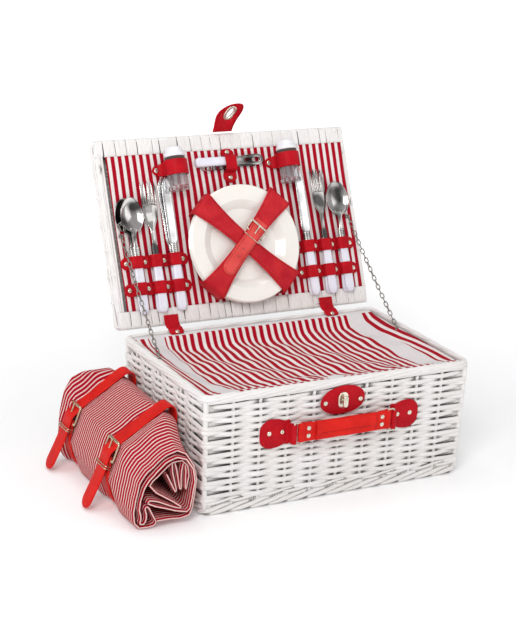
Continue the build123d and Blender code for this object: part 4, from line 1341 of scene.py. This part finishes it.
# ------------------------------------------------------------------ closing tongue
TONGUE_AXIS, TONGUE_FOLD, SLOT_AT = (0.0, 307.0, -6.0), 50.0, 40.1
LEAN = 0.000075  # the tongue bends to the right with the cube of the distance along it


def tongue():
    """The closing strap, its own body, bent up from the far edge of the lid, with its slotted plate."""
    fold = radians(TONGUE_FOLD)
    way = cos(fold) * LID.axes[1] + sin(fold) * LID.axes[2]
    spot = Place(LID(TONGUE_AXIS), X, way)

    def leaning(outline):
        outline = np.array(outline, float)
        outline[:, 0] += LEAN * outline[:, 1] ** 3
        return outline

    half = [(17.4, 1.5), (18.0, 12), (19.8, 24), (21.8, 36), (20.4, 46), (14.6, 53.8), (6.2, 57.6)]
    whole = np.array(half + [(-x, y) for x, y in half[::-1]])
    outline = leaning(np.vstack([spline(whole, 6), [(-8, 1.5), (0, 1.5), (8, 1.5)]]))
    slot = leaning([(0, SLOT_AT)])[0]
    leather = Skin(spot)
    leather_plate(leather, outline, -1.2, 2.4, hole=(12, 24), middle=slot)
    seam = Skin(spot)
    line = leaning(spline(whole * (0.86, 0.92) + (0, 3), 6))
    seam.stitches(np.column_stack([line, np.full(len(line), 1.3)]), Z, 0, 0, 3.8, 2.5)
    metal = Skin(spot.on((slot[0], slot[1], 0), -degrees(3 * LEAN * SLOT_AT ** 2)))
    leather_plate(metal, stadium(19, 29), -1.8, 3.6, hole=(9.4, 20.4))
    leather.build("tongue_leather", "tongue", RED, "lid_tongue")
    seam.build("tongue_stitches", "tongue", THREAD)
    metal.build("tongue_slot_plate", "tongue", NICKEL, "tongue_eyelet")


def lid():
    """Everything that the lid carries; the two belt prongs get their metal here as well."""
    lid_wicker()
    lid_cloth()
    plates()
    studs = Skin()
    cutlery()
    cutlery_bands(studs)
    shakers(studs)
    corkscrew(studs)
    studs.build("lid_domed_rivets", "lid", NICKEL, "lid_rivets")
    tongue()
    for node in ("front_belt_prong", "back_belt_prong"):
        dress(node, BRASS)


# ------------------------------------------------------------------ camera, floor and light
CAMERA_AIM, CAMERA_AWAY = np.array([-68.5, 0.0, 242.4]), 2450.8
AZIMUTH, ELEVATION, ROLL = -27.97, 18.02, 2.58


def studio():
    scene = bpy.context.scene
    azimuth, elevation, roll = radians(AZIMUTH), radians(ELEVATION), radians(ROLL)
    back = np.array([sin(azimuth) * cos(elevation), -cos(azimuth) * cos(elevation), sin(elevation)])
    right = np.array([cos(azimuth), sin(azimuth), 0.0])
    up = np.cross(back, right)
    camera_x = cos(roll) * right + sin(roll) * up
    camera_y = -sin(roll) * right + cos(roll) * up
    camera = bpy.data.objects.new("camera", bpy.data.cameras.new("camera"))
    camera.data.sensor_width = 36.0
    camera.data.lens = 90.0
    camera.data.clip_end = 50.0
    axes = Matrix(np.array([camera_x, camera_y, back]).T.tolist()).to_4x4()
    camera.matrix_world = Matrix.Translation(Vector((CAMERA_AIM + back * CAMERA_AWAY) * MM)) @ axes
    scene.collection.objects.link(camera)
    scene.camera = camera

    bpy.ops.mesh.primitive_plane_add(size=30, location=(0, 0, 0))
    floor = bpy.context.object
    floor.name = "floor"
    shader = Shader("floor_paper", (0.93, 0.93, 0.935), 0.8, Specular_IOR_Level=0.1)
    grain = shader.noise(shader.place(), 60.0, 2.0)
    shader.set(shader.main, "Base Color", shader.mix(grain, (0.92, 0.92, 0.925), (0.95, 0.95, 0.955)))
    shader.set(shader.main, "Emission Color", (1, 1, 1, 1))
    away = shader.node("VectorMath", settings={"operation": "LENGTH"}, _0=shader.place()).outputs["Value"]
    shader.set(shader.main, "Emission Strength", shader.ramp(away, 0.5, 2.0, 0.12, 0.75))
    floor.data.materials.append(shader.material)

    world = bpy.data.worlds.new("world")
    world.use_nodes = True
    background = world.node_tree.nodes["Background"].inputs
    background["Color"].default_value = (1, 1, 1, 1)
    background["Strength"].default_value = 0.42
    scene.world = world
    aim = Vector((-0.03, 0, 0.2))
    for name, spot, size, power in (
        ("key", (-1.75, -2.0, 2.3), 1.3, 52),
        ("fill", (2.2, -2.2, 1.6), 2.2, 15),
        ("top", (0.0, 0.4, 3.0), 1.6, 18),
        ("left", (-2.6, 0.3, 1.2), 1.6, 9),
    ):
        light = bpy.data.lights.new(name, "AREA")
        light.shape = "SQUARE"
        light.size = size
        light.energy = power
        lamp = bpy.data.objects.new(name, light)
        lamp.location = spot
        lamp.rotation_euler = (aim - Vector(spot)).to_track_quat("-Z", "Y").to_euler()
        scene.collection.objects.link(lamp)
    scene.view_settings.view_transform = "Standard"


studio()
basket_body()
basket_inside()
flap()
clasp()
handle_ends()
handle_grip_strap()
blanket_belts()
blanket_roll()
chains()
hinge_straps()
lid()
